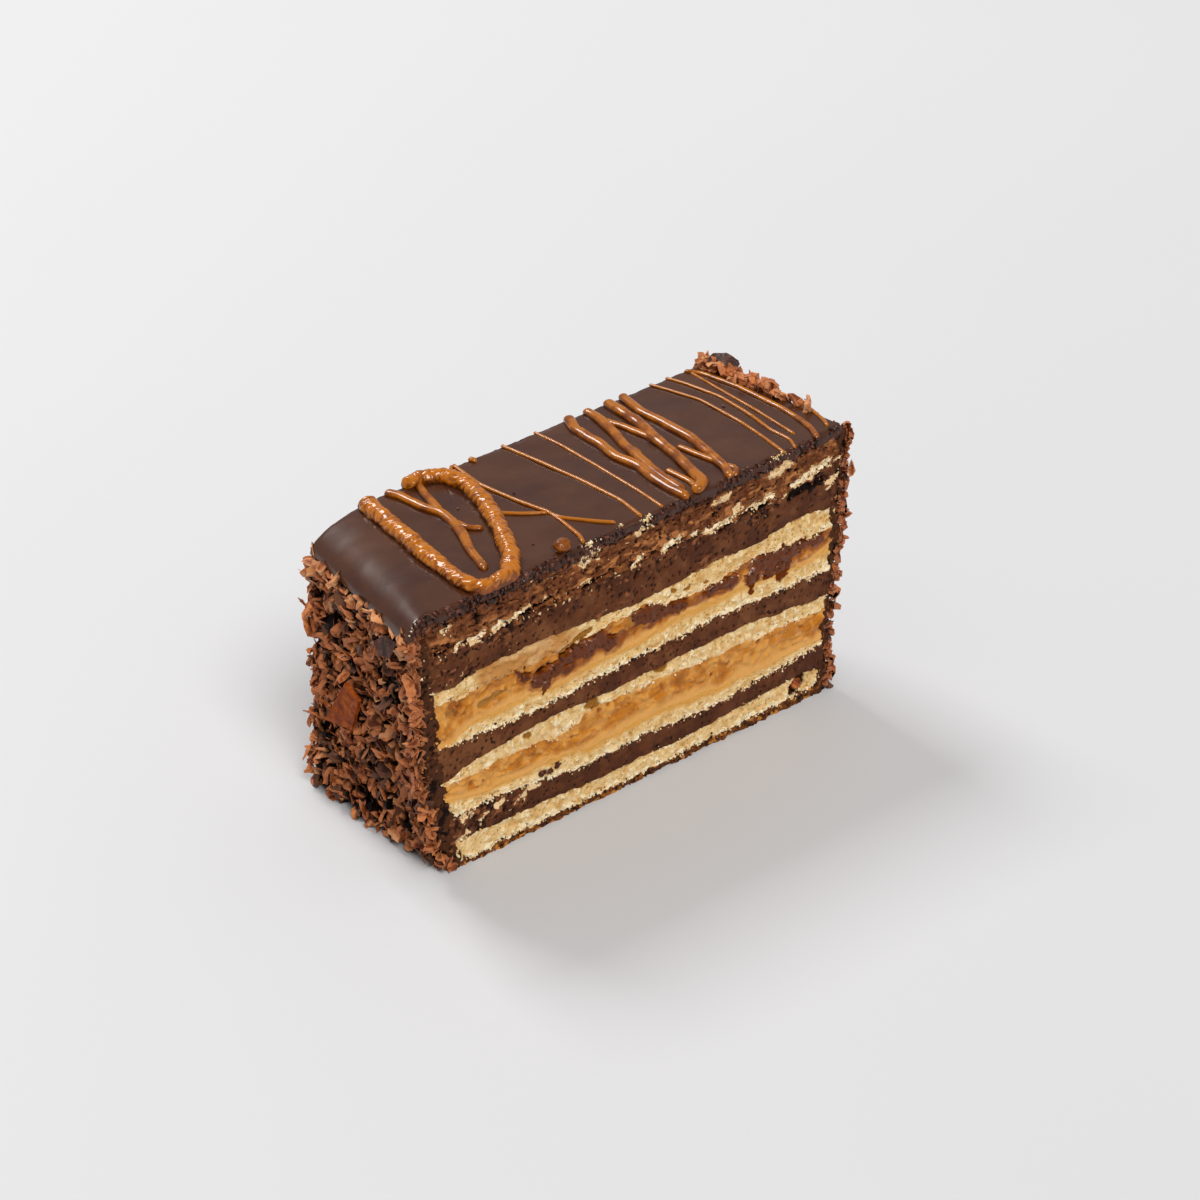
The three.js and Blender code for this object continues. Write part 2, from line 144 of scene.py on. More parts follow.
# The holes are painted dark inside, as shade.
SHOWN_HOLES = [  # gaps that were torn open
    (101.2, 4.2, 102.6, 5.6, 1.9), (97.6, 54.6, 103.4, 55.4, 0.9), (104.6, 54.4, 107.4, 55.4, 1.1),
    (87.2, 54.9, 90.6, 55.4, 0.55), (76.6, 54.0, 79.6, 54.4, 0.5), (61.5, 54.6, 64.5, 55.1, 0.4),
    (20.6, 54.2, 29.5, 55.4, 0.42), (38.0, 54.4, 45.5, 55.6, 0.5), (-1.8, 53.5, 2.0, 53.8, 0.4),
    (14.6, 53.2, 18.6, 54.0, 0.4), (52.4, 51.4, 52.7, 52.8, 0.35), (25.2, 38.9, 30.4, 39.7, 0.3),
    (31.4, 40.2, 35.4, 41.2, 0.32),
]
HIDDEN_HOLES = [(12, 53.0, 17, 53.3, 0.5), (44, 53.2, 51, 53.4, 0.6), (84, 53.4, 90, 53.6, 0.7)]
SHOWN_FRAGMENTS = [  # sponge clumps: in the broken line, in the lowest cream, under the glaze
    (3.4, 53.1, 5.2, 54.1, 0.5), (7.3, 53.4, 11.0, 54.4, 0.55), (13.4, 53.8, 19.6, 55.1, 0.75),
    (20.6, 55.3, 23.1, 56.0, 0.45), (26.9, 56.4, 28.8, 56.8, 0.4), (37.0, 55.4, 39.5, 55.9, 0.45),
    (52.1, 54.7, 54.6, 56.2, 0.5), (60.4, 55.2, 65.2, 56.5, 0.65), (67.9, 55.9, 70.2, 56.1, 0.4),
    (72.5, 54.9, 78.7, 56.0, 0.6), (78.6, 55.6, 82.8, 57.3, 0.8), (85.5, 56.0, 91.8, 57.1, 0.75),
    (99.7, 57.0, 108.8, 59.7, 1.0), (110.0, 54.2, 114.2, 56.9, 1.1),
    (111.8, 58.9, 113.6, 60.3, 0.6),
    (4.5, 12.4, 6.5, 12.3, 0.8), (9.3, 9.6, 10.0, 10.3, 0.7), (13.6, 11.2, 14.6, 11.6, 0.6),
    (19.0, 10.2, 20.8, 10.6, 0.8), (22.5, 11.4, 25.0, 11.8, 0.45), (1.2, 6.9, 5.5, 7.3, 0.55),
    (37.6, 60.6, 41.6, 62.8, 1.3), (53.0, 62.2, 56.6, 64.0, 1.0), (75.2, 61.2, 78.2, 61.9, 0.8),
    (92.0, 62.4, 97.4, 63.8, 1.1), (0.2, 58.2, 1.6, 58.8, 0.6), (-6.2, 50.0, -4.6, 49.6, 0.5),
]
AMBER_PITS = [  # where caramel lies deep
    (39.2, 25.6, 41.0, 25.2, 1.2), (59.0, 26.6, 61.0, 26.4, 0.9), (21.5, 24.8, 22.4, 24.6, 0.7),
    (10.0, 37.4, 16.0, 38.2, 0.7), (0.6, 38.9, 2.6, 38.6, 0.8), (5.0, 40.0, 5.6, 40.0, 0.4),
    (32.0, 41.0, 36.8, 43.0, 0.75), (37.0, 43.0, 39.8, 43.4, 0.5), (50.6, 40.8, 51.4, 42.0, 0.7),
    (63.0, 44.4, 63.8, 44.1, 0.45), (66.8, 43.2, 67.8, 43.0, 0.5), (72.6, 42.6, 73.8, 42.5, 0.4),
]
HIDDEN_FRAGMENTS = [
    (6, 53.9, 11, 54.1, 0.6), (19, 54.0, 27, 54.3, 0.8), (35, 54.4, 38, 54.5, 0.5),
    (47, 54.5, 58, 54.9, 0.7), (66, 54.9, 70, 55.0, 0.6), (79, 55.0, 84, 55.2, 0.9),
    (93, 55.5, 104, 56.0, 1.0), (30, 61.0, 34, 61.6, 1.0),
]
SHOWN_BITS = [  # loose bits of chocolate
    (25.4, 13.8, 26.4, 13.7, 0.7), (27.6, 13.3, 28.4, 13.3, 0.6), (29.7, 14.0, 30.5, 14.2, 0.7)]
SHOWN_MARKS = SHOWN_RUNS, SHOWN_HOLES, SHOWN_FRAGMENTS
HIDDEN_MARKS = HIDDEN_RUNS, HIDDEN_HOLES, HIDDEN_FRAGMENTS

# Caramel on the glaze: radius of each strand, and its bends as X and Y.
ROPES = [
    (2.0, [(16.6, 47), (13.4, 30.3), (11.3, 17.8), (9.8, 6.6), (10.6, 1.4), (14.5, 0.2)]),
    (1.95, [(27, 45.6), (31.5, 46.9), (36, 44), (37.4, 38.3), (34.8, 28.3), (30, 17.7),
            (23.7, 6.4), (18.5, 1.0), (13.0, 0.4)]),
]
STRANDS = [
    (1.15, [(22.4, 47), (23.8, 43.5), (24.3, 36), (25.8, 31.4), (24.5, 25.9), (23, 21.4),
            (20, 15.4), (17, 6.9)]),
    (1.0, [(30.6, 46.5), (28.3, 40.6), (25.8, 32.4)]),
    (0.8, [(25.1, 27.5), (25.6, 22.6), (28, 20.6)]),
    (1.35, [(74.2, 47.3), (71.4, 40.9), (70.7, 32.2), (69.1, 25.6), (69.5, 17.8), (68, 11.4),
            (67.3, 4.3), (67.3, 0)]),
    (1.25, [(79.4, 47.3), (78.9, 41.5), (76.2, 33.5), (73.9, 27.6), (72, 20.6), (69.6, 11),
            (68.7, 3)]),
    (0.9, [(73.9, 27.6), (74.2, 24), (72, 20.4)]),
    (1.4, [(85.6, 47.3), (84.7, 41.3), (83.4, 33.3), (80.7, 25.4), (78.9, 16.9), (76.3, 9.4),
           (73.9, 2.6), (69.8, 0.9)]),
    (1.0, [(79, 40.5), (80.1, 34.5), (80.6, 26.9), (79.6, 21)]),
    (1.2, [(90.2, 47.3), (87.8, 38.1), (87.5, 31.2), (86.7, 20.6), (84.1, 11.4), (82.2, 4.6),
           (79.6, 0.2)]),
    (0.8, [(82.6, 6.5), (83.6, 2.6), (81, 0.2)]),
    (0.8, [(81.9, 19.5), (82.3, 12.6), (82.8, 7.5)]),
    (0.8, [(72.7, 13), (72.6, 5.3), (71.5, 1.4)]),
    (0.7, [(108.9, 46.6), (110.9, 42.8), (111.5, 30.9), (110.4, 16.8), (109.1, 9.2),
            (107.5, 3.7), (105.4, 0)]),
]
THREADS = [
    (0.42, [(41.1, 47.3), (38.4, 44.6), (37.4, 42)]),
    (0.48, [(41.4, 47.3), (39.8, 36), (41, 24.2), (42.4, 16.7), (41.9, 12.3), (40.3, 4.1),
            (38.8, 1.2)]),
    (0.45, [(32.6, 25.8), (37.6, 20.1), (42.1, 16.4)]),
    (0.5, [(42.1, 16.4), (42.5, 12.9), (47.3, 5.7), (49.5, 3)]),
    (0.8, [(45.6, 47.2), (46.3, 44.9)]),
    (0.48, [(55.0, 47.3), (56, 35.3), (56.7, 22.8), (56.7, 10), (54.9, 1)]),
    (0.42, [(64.4, 47.3), (64.5, 38.4), (63.4, 24), (62.1, 9.6), (60.8, 0.8)]),
    (0.42, [(98.7, 47.3), (99.6, 43), (101.2, 32.9), (99.6, 18.3), (98.1, 10.4), (95.6, 0)]),
    (0.45, [(103.6, 47.2), (104.6, 42), (105.3, 30.8), (103.5, 19.2), (101.3, 10.5),
            (100.9, 3.8), (98.8, 0)]),
    (0.4, [(109.7, 46.2), (107.8, 33.4), (106, 20.2), (103.3, 4.7)]),
    (0.45, [(115, 19.3), (115.1, 13.7), (112.4, 5), (110.8, 2.2)]),
]

# Shavings on the ends, by piece and finish. Each batch: end (-1 near, 1 far), how many, lengths,
# seed, how far out they lie, the share of them beside the cuts, the part of the end's height that
# they cover, and how much they thin out towards the shown cut.
TOP_ROW, FAR_ROW, BELOW_EDGE = (0.88, 1.02), (0.98, 1.0), (0.01, 0.965)
SHAVINGS = [
    ("milk_shavings", "milk_shavings", [
        (-1, 1050, (1.5, 3.0), 81, 0.7, 0.18), (-1, 470, (2.6, 4.4), 82, 1.4, 0.1),
        (1, 1000, (1.5, 3.0), 83, 0.4, 0.18, BELOW_EDGE),
        (1, 440, (2.6, 4.2), 84, 1.0, 0.1, BELOW_EDGE),
        (1, 44, (2.8, 4.6), 91, -0.5, 0.0, FAR_ROW, 2.0)]),
    ("dark_shavings", "dark_shavings", [
        (-1, 290, (1.5, 3.4), 85, 1.1, 0.03), (-1, 36, (3.2, 5.2), 86, 1.6, 0.1),
        (1, 220, (1.4, 3.2), 87, 0.5, 0.03, BELOW_EDGE),
        (1, 30, (3.0, 4.6), 88, 1.1, 0.0, BELOW_EDGE)]),
    ("orange_brown_shavings", "tan_shavings", [
        (-1, 80, (1.4, 3.8), 89, 1.4), (1, 80, (1.4, 3.8), 90, 1.1, 0.1, BELOW_EDGE),
        (-1, 90, (2.4, 4.4), 92, 1.5, 0.0, TOP_ROW),
        (1, 32, (2.6, 4.4), 93, -0.8, 0.0, FAR_ROW, 2.0)]),
]
PLATES = [  # name, finish, node, thickness, the way it faces, its corners
    ("flat_shard", "shard", "shavings_near_end", 0.9, (-1, 0, 0.05),
     [(-5.2, 26.2, 37), (-5.2, 21.6, 34.5), (-5.2, 24.4, 26.3), (-5.2, 33.8, 24.4)]),
    ("dark_plate", "dark_shavings", "shavings_near_end", 0.9, (-1, -0.2, 0.3),
     [(-6.9, 13.4, 53.4), (-6.9, 9.5, 56.6), (-6.9, 5.8, 56.2), (-6.9, 8.1, 51.5),
      (-6.9, 12.2, 50.8)]),
    ("dark_chunk", "dark_shavings", "shavings_far_end", 1.2, (-0.35, 0.05, 1),
     [(113.2, 43.8, 66.3), (116.0, 44.2, 67.4), (117.6, 41.6, 67.9), (117.8, 37.8, 67.2),
      (115.4, 36.8, 66.4)]),
]
LUMPS = [  # name, finish, slot, node, seed, centre, radii
    ("caramel_lump", "caramel_strand", "caramel", "chocolate_glaze", 94,
     (33.8, 2.2, 65.4), (1.9, 1.8, 1.5)),
    ("chocolate_lump", "milk_shavings", "crumb", "sponge_5", 95,
     (102.2, 1.1, 4.9), (1.4, 1.1, 1.4)),
]

# Crumbs beside the meeting lines: layer over the line, how many, from X, to X, spread, shift up.
SPONGE_CRUMB_LINES = [
    (7, 330, 3, 108, 0.35, 0.1), (3, 330, 0, 108, 0.35, 0.1), (2, 60, 2, 108, 0.3, 0.0),
    (1, 220, 2, 108, 0.35, 0.15), (5, 50, 5, 100, 0.3, 0.0), (9, 60, 50, 108, 0.4, 0.2),
    (11, 60, -4, 112, 0.6, 0.5)]
CHOCOLATE_CRUMB_LINES = [
    (7, 130, 2, 108, 0.5, -0.4), (3, 130, 0, 108, 0.5, -0.3), (1, 190, 0, 109, 0.6, -0.4),
    (12, 120, -6, 112, 1.4, 1.4), (11, 70, -6, 112, 0.8, -0.9)]
CRUMB_HEAPS = [  # sponge crumbs on the glaze: X, Y, how many, how wide they lie
    (49.3, 1.4, 14, 0.7), (55.6, 0.3, 30, 1.0), (39.6, 0.2, 40, 1.3), (94.5, 0.2, 36, 1.5),
    (-7.6, 0.5, 8, 0.5), (70, 40, 3, 0.4), (22, 44, 3, 0.3)]

# Stage, in metres and degrees.
FLOOR_REACH, FLOOR_TONES, FLOOR_ROUGHNESS = 4.0, ("#c3c4c7", "#c7c8cb"), 0.6
WORLD_COLOUR, WORLD_STRENGTH = (1.0, 0.985, 0.97, 1), 0.42
WINDOW_PLACE, WINDOW_AIM, WINDOW_SIZE, WINDOW_POWER = (-0.05, 1.75, 2.0), (0, 0, 0.03), 0.9, 42
WINDOW_COLOUR = (1.0, 0.99, 0.98)
SKY_FROM, SKY_POWER, SKY_ANGLE, SKY_COLOUR = (-0.22, -0.62, 0.8), 2.35, 26, (1.0, 0.975, 0.94)
LENS, SENSOR = 100, 36
CAMERA_PLACE = (-358.09, -453.86, 399.44)  # in the slice's own axes
CAMERA_TURN = (60, 0, -41.4157)


# ---- Repeatable noise -------------------------------------------------------------------
def hashed(seed, *cells):
    """A repeatable number from 0 to 1 for each lattice cell."""
    largest, first, second = 0xFFFFFFFF, np.uint32(2246822519), np.uint32(3266489917)
    mixed = np.uint32((seed * 2654435761 + 97) & largest)
    for cell in cells:
        mixed = (np.asarray(cell).astype(np.int64).astype(np.uint32) ^ mixed) * first
        mixed ^= mixed >> np.uint32(15)
        mixed = mixed * second
        mixed ^= mixed >> np.uint32(13)
    return mixed / float(largest)


def noise(seed, size, *coords):
    """Smooth noise from -1 to 1; size is the width of its lumps, one for all or one each."""
    spots = [np.asarray(c, float) / s for c, s in zip(coords, np.broadcast_to(size, len(coords)))]
    cells = [np.floor(s) for s in spots]
    eases = [(s - c) ** 2 * (3 - 2 * (s - c)) for s, c in zip(spots, cells)]
    total = 0.0
    for corner in itertools.product((0, 1), repeat=len(spots)):
        weight = 1.0
        for ease, side in zip(eases, corner):
            weight = weight * (ease if side else 1 - ease)
        total = total + weight * hashed(seed, *[c + side for c, side in zip(cells, corner)])
    return 2 * total - 1


def fractal(seed, size, octaves, *coords):
    """Noise with finer noise on it, from about -1 to 1."""
    total, share = 0.0, 0.0
    for octave in range(octaves):
        fine = 0.5 ** octave
        total = total + fine * noise(seed + octave, np.multiply(size, fine), *coords)
        share += fine
    return total / share * 1.35


def hollows(seed, size, share, along, up):
    """Round pores, at most one to a cell of this size: 1 in the middle of each and 0 outside."""
    cell_x, cell_y = np.floor(along / size), np.floor(up / size)
    depth = np.zeros(np.shape(along))
    for step_x, step_y in itertools.product((-1, 0, 1), repeat=2):
        x, y = cell_x + step_x, cell_y + step_y
        radius = size * (0.16 + 0.3 * hashed(seed + 2, x, y)) * (hashed(seed + 3, x, y) < share)
        away = np.hypot(along - (x + hashed(seed, x, y)) * size,
                        up - (y + hashed(seed + 1, x, y)) * size)
        found = np.clip(1 - (away / np.maximum(radius, 1e-3)) ** 2, 0, 1) * (radius > 0)
        depth = np.maximum(depth, found)
    return depth


def knobs(seed, size, along, up):
    """Round lumps of two sizes: 1 on their tops and 0 in the creases."""
    return np.maximum(hollows(seed, size, 1.0, along, up),
                      0.8 * hollows(seed + 4, 0.6 * size, 1.0, along, up))


def ramp(low, high, value):
    """0 up to low, 1 from high, and smooth between."""
    t = np.clip((np.asarray(value, float) - low) / (high - low), 0, 1)
    return t * t * (3 - 2 * t)


def lerp(a, b, t):
    return a + (b - a) * t


def near_strokes(x, z, strokes, seed, size, wobble, soft=0.5):
    """1 inside uneven strokes on a cut face, and less at their edge."""
    drift = wobble * fractal(seed, size, 3, x, z)
    x, z = (v + 0.6 * wobble * fractal(seed + k, (1.9, 1.5), 2, x, z) for k, v in ((5, x), (8, z)))
    inside = np.zeros(np.shape(x))
    for x0, z0, x1, z1, half in strokes:
        reach_x, reach_z = x1 - x0, z1 - z0
        share = ((x - x0) * reach_x + (z - z0) * reach_z) / (reach_x ** 2 + reach_z ** 2)
        share = np.clip(share, 0, 1)
        away = np.hypot(x - x0 - share * reach_x, z - z0 - share * reach_z) / half
        inside = np.maximum(inside, ramp(0.8 + soft, 0.8, away + drift))
    return inside


# ---- The slice's form -------------------------------------------------------------------
ORIGIN = Vector((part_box("chocolate_glaze")[1].x, 0, 0)) - 0.001 * Vector(
    (FAR_FOOT + FAR_LEAN * GLAZE_TOP[2] / LEAN_HEIGHT, WIDTH / 2, 0))


def in_frame(points):
    return np.asarray(points, float) * 0.001 + np.array(ORIGIN)


def through_three(values, t):
    """A smooth run through a value at the start, the middle and the end."""
    start, middle, end = values
    return start * (1 - t) * (1 - 2 * t) + middle * 4 * t * (1 - t) + end * t * (2 * t - 1)


def near_end(y, z):
    return NEAR_FOOT + lerp(*NEAR_LEAN, y / WIDTH) * z / LEAN_HEIGHT


def far_end(y, z):
    return FAR_FOOT + FAR_LEAN * z / LEAN_HEIGHT + 0 * y


def share_along(x):
    return (x - NEAR_FOOT) / (FAR_FOOT - NEAR_FOOT)


def frame_level(index, along, across):
    """The frame's height of the meeting line under layer index, without its ripple."""
    height = sum((through_three(thick, along) for _, thick, _ in LAYERS[:index]), 0 * along)
    return height * (1 - BACK_SAG * across * along)


def shown_line(index, x):
    """The line under layer index on the shown cut: smooth through its stations."""
    fine = np.arange(-14, 124, 0.5)
    heights = np.interp(fine, STATIONS, SHOWN_LINES[index - 1])
    blur = np.hanning(15)
    padded = np.pad(heights, len(blur) // 2, mode="edge")
    return np.interp(x, fine, np.convolve(padded, blur / blur.sum(), mode="valid"))


def ragged(index, x, y):
    """How crumbs break the meeting line: coarse waves, and small bites beside a sponge."""
    below, above = LAYERS[index - 1][2], LAYERS[index][2]
    crumbly = {below, above} & {"sponge", "broken", "base"}
    bite = 0.5 if above == "sponge" else 0.3 if crumbly else 0.15
    flow = 0.5 if "caramel" in (below, above) else 0.25
    seed = LINE_SEED + index
    return flow * noise(seed, (5.5, 9), x, y) + bite * fractal(seed + 30, (1.9, 4), 3, x, y)


def meeting_line(index, along, across):
    """X and Z of the line under layer index, for shares along and across the slice."""
    y = across * WIDTH
    rough = frame_level(index, along, across)
    x = lerp(near_end(y, rough), far_end(y, rough), along)
    if index == 0:
        return x, 0 * x
    hidden = frame_level(index, along, 1.0) + 0.5 * noise(LINE_SEED + 60 + index, 16, x, y)
    z = lerp(shown_line(index, x), hidden, ramp(0, 1, across))
    return x, z + ragged(index, x, y)


def lip(across):
    """The glaze's roll over the near end: its edge in X, how far it reaches in, how far down."""
    return lerp(*LIP_EDGE, across), lerp(*LIP_REACH, across), lerp(*LIP_DROP, across)


def glaze_top(x, across):
    along = np.clip(share_along(x), 0, 1.05)
    return through_three(GLAZE_TOP, along) * (1 - BACK_SAG * across * along)


def glaze_surface(x, across, depth):
    """Height of the glaze's surface, or of one that lies depth under it."""
    edge, reach, drop = lip(across)
    turn = np.clip((edge + reach - x) / (reach - depth), 0, 1)
    return glaze_top(x, across) - drop + (drop - depth) * np.sqrt(1 - turn * turn)


# ---- Meshes -----------------------------------------------------------------------------
def box_grid(counts):
    """Points (shares 0 to 1) and squares of a closed box surface with these counts of steps."""
    nx, ny, nz = counts
    lattice = np.indices((nx + 1, ny + 1, nz + 1)).reshape(3, -1)
    outer = ((lattice == 0) | (lattice == np.array(counts)[:, None])).any(0)
    number = np.full(lattice.shape[1], -1)
    number[outer] = np.arange(outer.sum())
    number = number.reshape(nx + 1, ny + 1, nz + 1)

    def squares(sheet, flip):
        corners = [sheet[:-1, :-1], sheet[1:, :-1], sheet[1:, 1:], sheet[:-1, 1:]]
        quad = np.stack(corners, -1).reshape(-1, 4)
        return quad[:, ::-1] if flip else quad

    faces = [
        squares(number[:, 0, :], False), squares(number[:, -1, :], True),
        squares(number[:, :, 0], True), squares(number[:, :, -1], False),
        squares(number[0, :, :], True), squares(number[-1, :, :], False),
    ]
    return lattice[:, outer].T / np.array(counts, float), np.concatenate(faces)


def ball_grid(counts):
    """Points of a ball of radius 1, and its squares, from a box's surface."""
    shares, faces = box_grid(counts)
    ball = shares - 0.5
    return ball / np.linalg.norm(ball, axis=1, keepdims=True), faces


def placed(name, data):
    """A new object in the scene."""
    made = bpy.data.objects.new(name, data)
    bpy.context.scene.collection.objects.link(made)
    return made


def make_piece(name, points, faces, material, nodes, masks=None, crease=50.0):
    """A mesh piece in place of its CAD nodes. A face whose last corner repeats its first is a
    triangle, and masks holds numbers for each point by name."""
    mesh = bpy.data.meshes.new(name)
    corners = np.ones(faces.shape, bool)
    corners[:, 3] = faces[:, 3] != faces[:, 0]
    sides = corners.sum(1)
    mesh.vertices.add(len(points))
    mesh.vertices.foreach_set("co", in_frame(points).astype(np.float32).ravel())
    mesh.loops.add(int(sides.sum()))
    mesh.loops.foreach_set("vertex_index", faces[corners].astype(np.int32))
    mesh.polygons.add(len(faces))
    mesh.polygons.foreach_set("loop_start", (np.cumsum(sides) - sides).astype(np.int32))
    mesh.update(calc_edges=True)
    mesh.validate()
    for key, values in (masks or {}).items():
        layer = mesh.attributes.new(key, "FLOAT", "POINT")
        layer.data.foreach_set("value", np.asarray(values, np.float32))
    mesh.shade_smooth()
    mesh.set_sharp_from_angle(angle=math.radians(crease))
    mesh.materials.append(material)
    piece = placed(name, mesh)
    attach(piece, "root")
    if nodes:
        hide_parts(*nodes)


def scattered(shape_faces, places):
    """Points and faces of copies of one small shape; places is (copies, points, 3)."""
    copies, per_copy = places.shape[:2]
    faces = shape_faces[None] + (np.arange(copies) * per_copy)[:, None, None]
    return places.reshape(-1, 3), faces.reshape(-1, shape_faces.shape[1])


def inside_box(points):
    """Keeps points of scattered pieces inside the frame's box."""
    low, high = ((np.array(corner) - np.array(ORIGIN)) * 1000 for corner in CAD_BOX)
    return np.clip(points, low + BOX_MARGIN, high - BOX_MARGIN)


def joined(parts):
    """Points, faces and masks of several parts as one."""
    points, faces, masks, base = [], [], {}, 0
    for part_points, part_faces, part_masks in parts:
        points.append(part_points)
        faces.append(part_faces + base)
        for key, values in part_masks.items():
            masks.setdefault(key, []).append(values)
        base += len(part_points)
    return (inside_box(np.concatenate(points)), np.concatenate(faces),
            {key: np.concatenate(values) for key, values in masks.items()})


# ---- Shader groups that the finishes share ----------------------------------------------
def srgb(text):
    """Linear colour from a hex name."""
    channels = [int(text[i:i + 2], 16) / 255 for i in (1, 3, 5)]
    return [c / 12.92 if c <= 0.04045 else ((c + 0.055) / 1.055) ** 2.4 for c in channels] + [1.0]


class Nodes:
    """A short way to place and join shader nodes in one tree."""

    def __init__(self, tree):
        self.tree = tree

    def add(self, kind, settings=None, **inputs):
        made = self.tree.nodes.new(kind)
        for key, value in (settings or {}).items():
            setattr(made, key, value)
        for key, value in inputs.items():
            self.feed(made.inputs[key.replace("_", " ")], value)
        return made

    def feed(self, socket, value):
        """Links a socket, or sets a number or a colour's hex name."""
        if isinstance(value, bpy.types.NodeSocket):
            self.tree.links.new(value, socket)
        elif isinstance(value, str):
            socket.default_value = srgb(value)
        else:
            socket.default_value = value

    def math(self, operation, a, b=0.0, c=0.0, clamp=False):
        made = self.add("ShaderNodeMath", {"operation": operation, "use_clamp": clamp})
        for socket, value in zip(made.inputs, (a, b, c)):
            self.feed(socket, value)
        return made.outputs[0]

    def mix(self, share, a, b):
        made = self.add("ShaderNodeMix", {"data_type": "RGBA"})
        for socket, value in zip((made.inputs[0], made.inputs[6], made.inputs[7]), (share, a, b)):
            self.feed(socket, value)
        return made.outputs[2]

    def span(self, value, low, high):
        """0 up to low, 1 from high, and smooth between."""
        return self.add("ShaderNodeMapRange", {"interpolation_type": "SMOOTHSTEP"}, Value=value,
                        From_Min=low, From_Max=high).outputs[0]

    def mask(self, name):
        return self.add("ShaderNodeAttribute", {"attribute_name": name}).outputs["Fac"]

    def place(self):
        return self.add("ShaderNodeTexCoord").outputs["Object"]

    def clouds(self, size, detail, **settings):
        """Noise in lumps of this size in millimetres."""
        scale = self.math("DIVIDE", 1000.0, size)
        made = self.add("ShaderNodeTexNoise", Vector=self.place(), Scale=scale, Detail=detail,
                        **settings)
        return made.outputs["Fac"]

    def group(self, tree, **inputs):
        return self.add("ShaderNodeGroup", {"node_tree": tree}, **inputs)


def shader_group(name, inputs, outputs):
    """A new group with these sockets: {name: (kind, default)} in, {name: kind} out."""
    tree = bpy.data.node_groups.new(name, "ShaderNodeTree")
    for label, (kind, default) in inputs.items():
        socket = tree.interface.new_socket(
            name=label, in_out="INPUT", socket_type=f"NodeSocket{kind}")
        socket.default_value = srgb(default) if isinstance(default, str) else default
    for label, kind in outputs.items():
        tree.interface.new_socket(name=label, in_out="OUTPUT", socket_type=f"NodeSocket{kind}")
    nodes = Nodes(tree)
    return tree, nodes, nodes.add("NodeGroupInput").outputs, nodes.add("NodeGroupOutput")


def crumb_grain_group():
    """The height of fine crumb, from grain to grain."""
    tree, n, given, out = shader_group(
        "crumb_grain",
        {"Grain Size": ("Float", 0.5), "Stretch": ("Float", 1.0)},
        {"Height": "Float"})
    stretched = n.add("ShaderNodeVectorMath", {"operation": "MULTIPLY"})
    n.feed(stretched.inputs[0], n.place())
    squash = n.add("ShaderNodeCombineXYZ", X=n.math("DIVIDE", 1.0, given["Stretch"]), Y=1.0, Z=1.0)
    n.feed(stretched.inputs[1], squash.outputs[0])
    place = stretched.outputs[0]
    scale = n.math("DIVIDE", 1000.0, given["Grain Size"])
    soft = n.add("ShaderNodeTexNoise", Vector=place, Scale=scale, Detail=3.0, Roughness=0.6)
    cells = n.add("ShaderNodeTexVoronoi", Vector=place, Scale=n.math("MULTIPLY", scale, 1.6))
    grain = n.math("ADD", n.math("MULTIPLY", soft.outputs["Fac"], 0.65),
                   n.math("MULTIPLY", cells.outputs["Distance"], 0.5))
    n.feed(out.inputs["Height"], grain)
    return tree


def colour_drift_group():
    """Colour that wanders between three tones, in large clouds with small mottling."""
    tree, n, given, out = shader_group(
        "colour_drift",
        {"Dark": ("Color", "#404040"), "Middle": ("Color", "#808080"),
         "Light": ("Color", "#c0c0c0"), "Cloud Size": ("Float", 4.0), "Shift": ("Float", 0.0)},
        {"Color": "Color"})
    cloud = n.clouds(given["Cloud Size"], 5.0, Roughness=0.62)
    value = n.math("ADD", n.span(cloud, 0.3, 0.7), given["Shift"], clamp=True)
    lower = n.mix(n.span(value, 0.0, 0.5), given["Dark"], given["Middle"])
    n.feed(out.inputs["Color"], n.mix(n.span(value, 0.5, 1.0), lower, given["Light"]))
    return tree


def stain_group():
    """A second colour laid over the first through a mask, with a broken edge."""
    tree, n, given, out = shader_group(
        "stain",
        {"Base": ("Color", "#808080"), "Stain": ("Color", "#404040"), "Mask": ("Float", 0.0),
         "Edge": ("Float", 0.2), "Break Size": ("Float", 1.0)},
        {"Color": "Color"})
    torn = n.math("SUBTRACT", n.clouds(given["Break Size"], 4.0), 0.5)
    shifted = n.math("ADD", given["Mask"], n.math("MULTIPLY", torn, 0.5))
    edge = given["Edge"]
    share = n.span(shifted, n.math("SUBTRACT", 0.5, edge), n.math("ADD", 0.5, edge))
    n.feed(out.inputs["Color"], n.mix(share, given["Base"], given["Stain"]))
    return tree


def sheen_change_group():
    """Roughness that changes from place to place, as fat and moisture dry unevenly."""
    tree, n, given, out = shader_group(
        "sheen_change",
        {"Moist": ("Float", 0.3), "Dry": ("Float", 0.8), "Patch Size": ("Float", 2.0),
         "Shift": ("Float", 0.0)},
        {"Roughness": "Float"})
    patch = n.span(n.clouds(given["Patch Size"], 3.0), 0.35, 0.65)
    share = n.math("ADD", patch, given["Shift"], clamp=True)
    made = n.add("ShaderNodeMapRange", Value=share, To_Min=given["Moist"], To_Max=given["Dry"])
    n.feed(out.inputs["Roughness"], made.outputs[0])
    return tree


CRUMB_GRAIN = crumb_grain_group()
COLOUR_DRIFT = colour_drift_group()
STAIN = stain_group()
SHEEN_CHANGE = sheen_change_group()


# ---- Finishes -----------------------------------------------------------------------------
def new_material(name):
    """A new material, the nodes it is built with, and its shader."""
    material = bpy.data.materials.new(name)
    material.use_nodes = True
    return material, Nodes(material.node_tree), material.node_tree.nodes["Principled BSDF"]


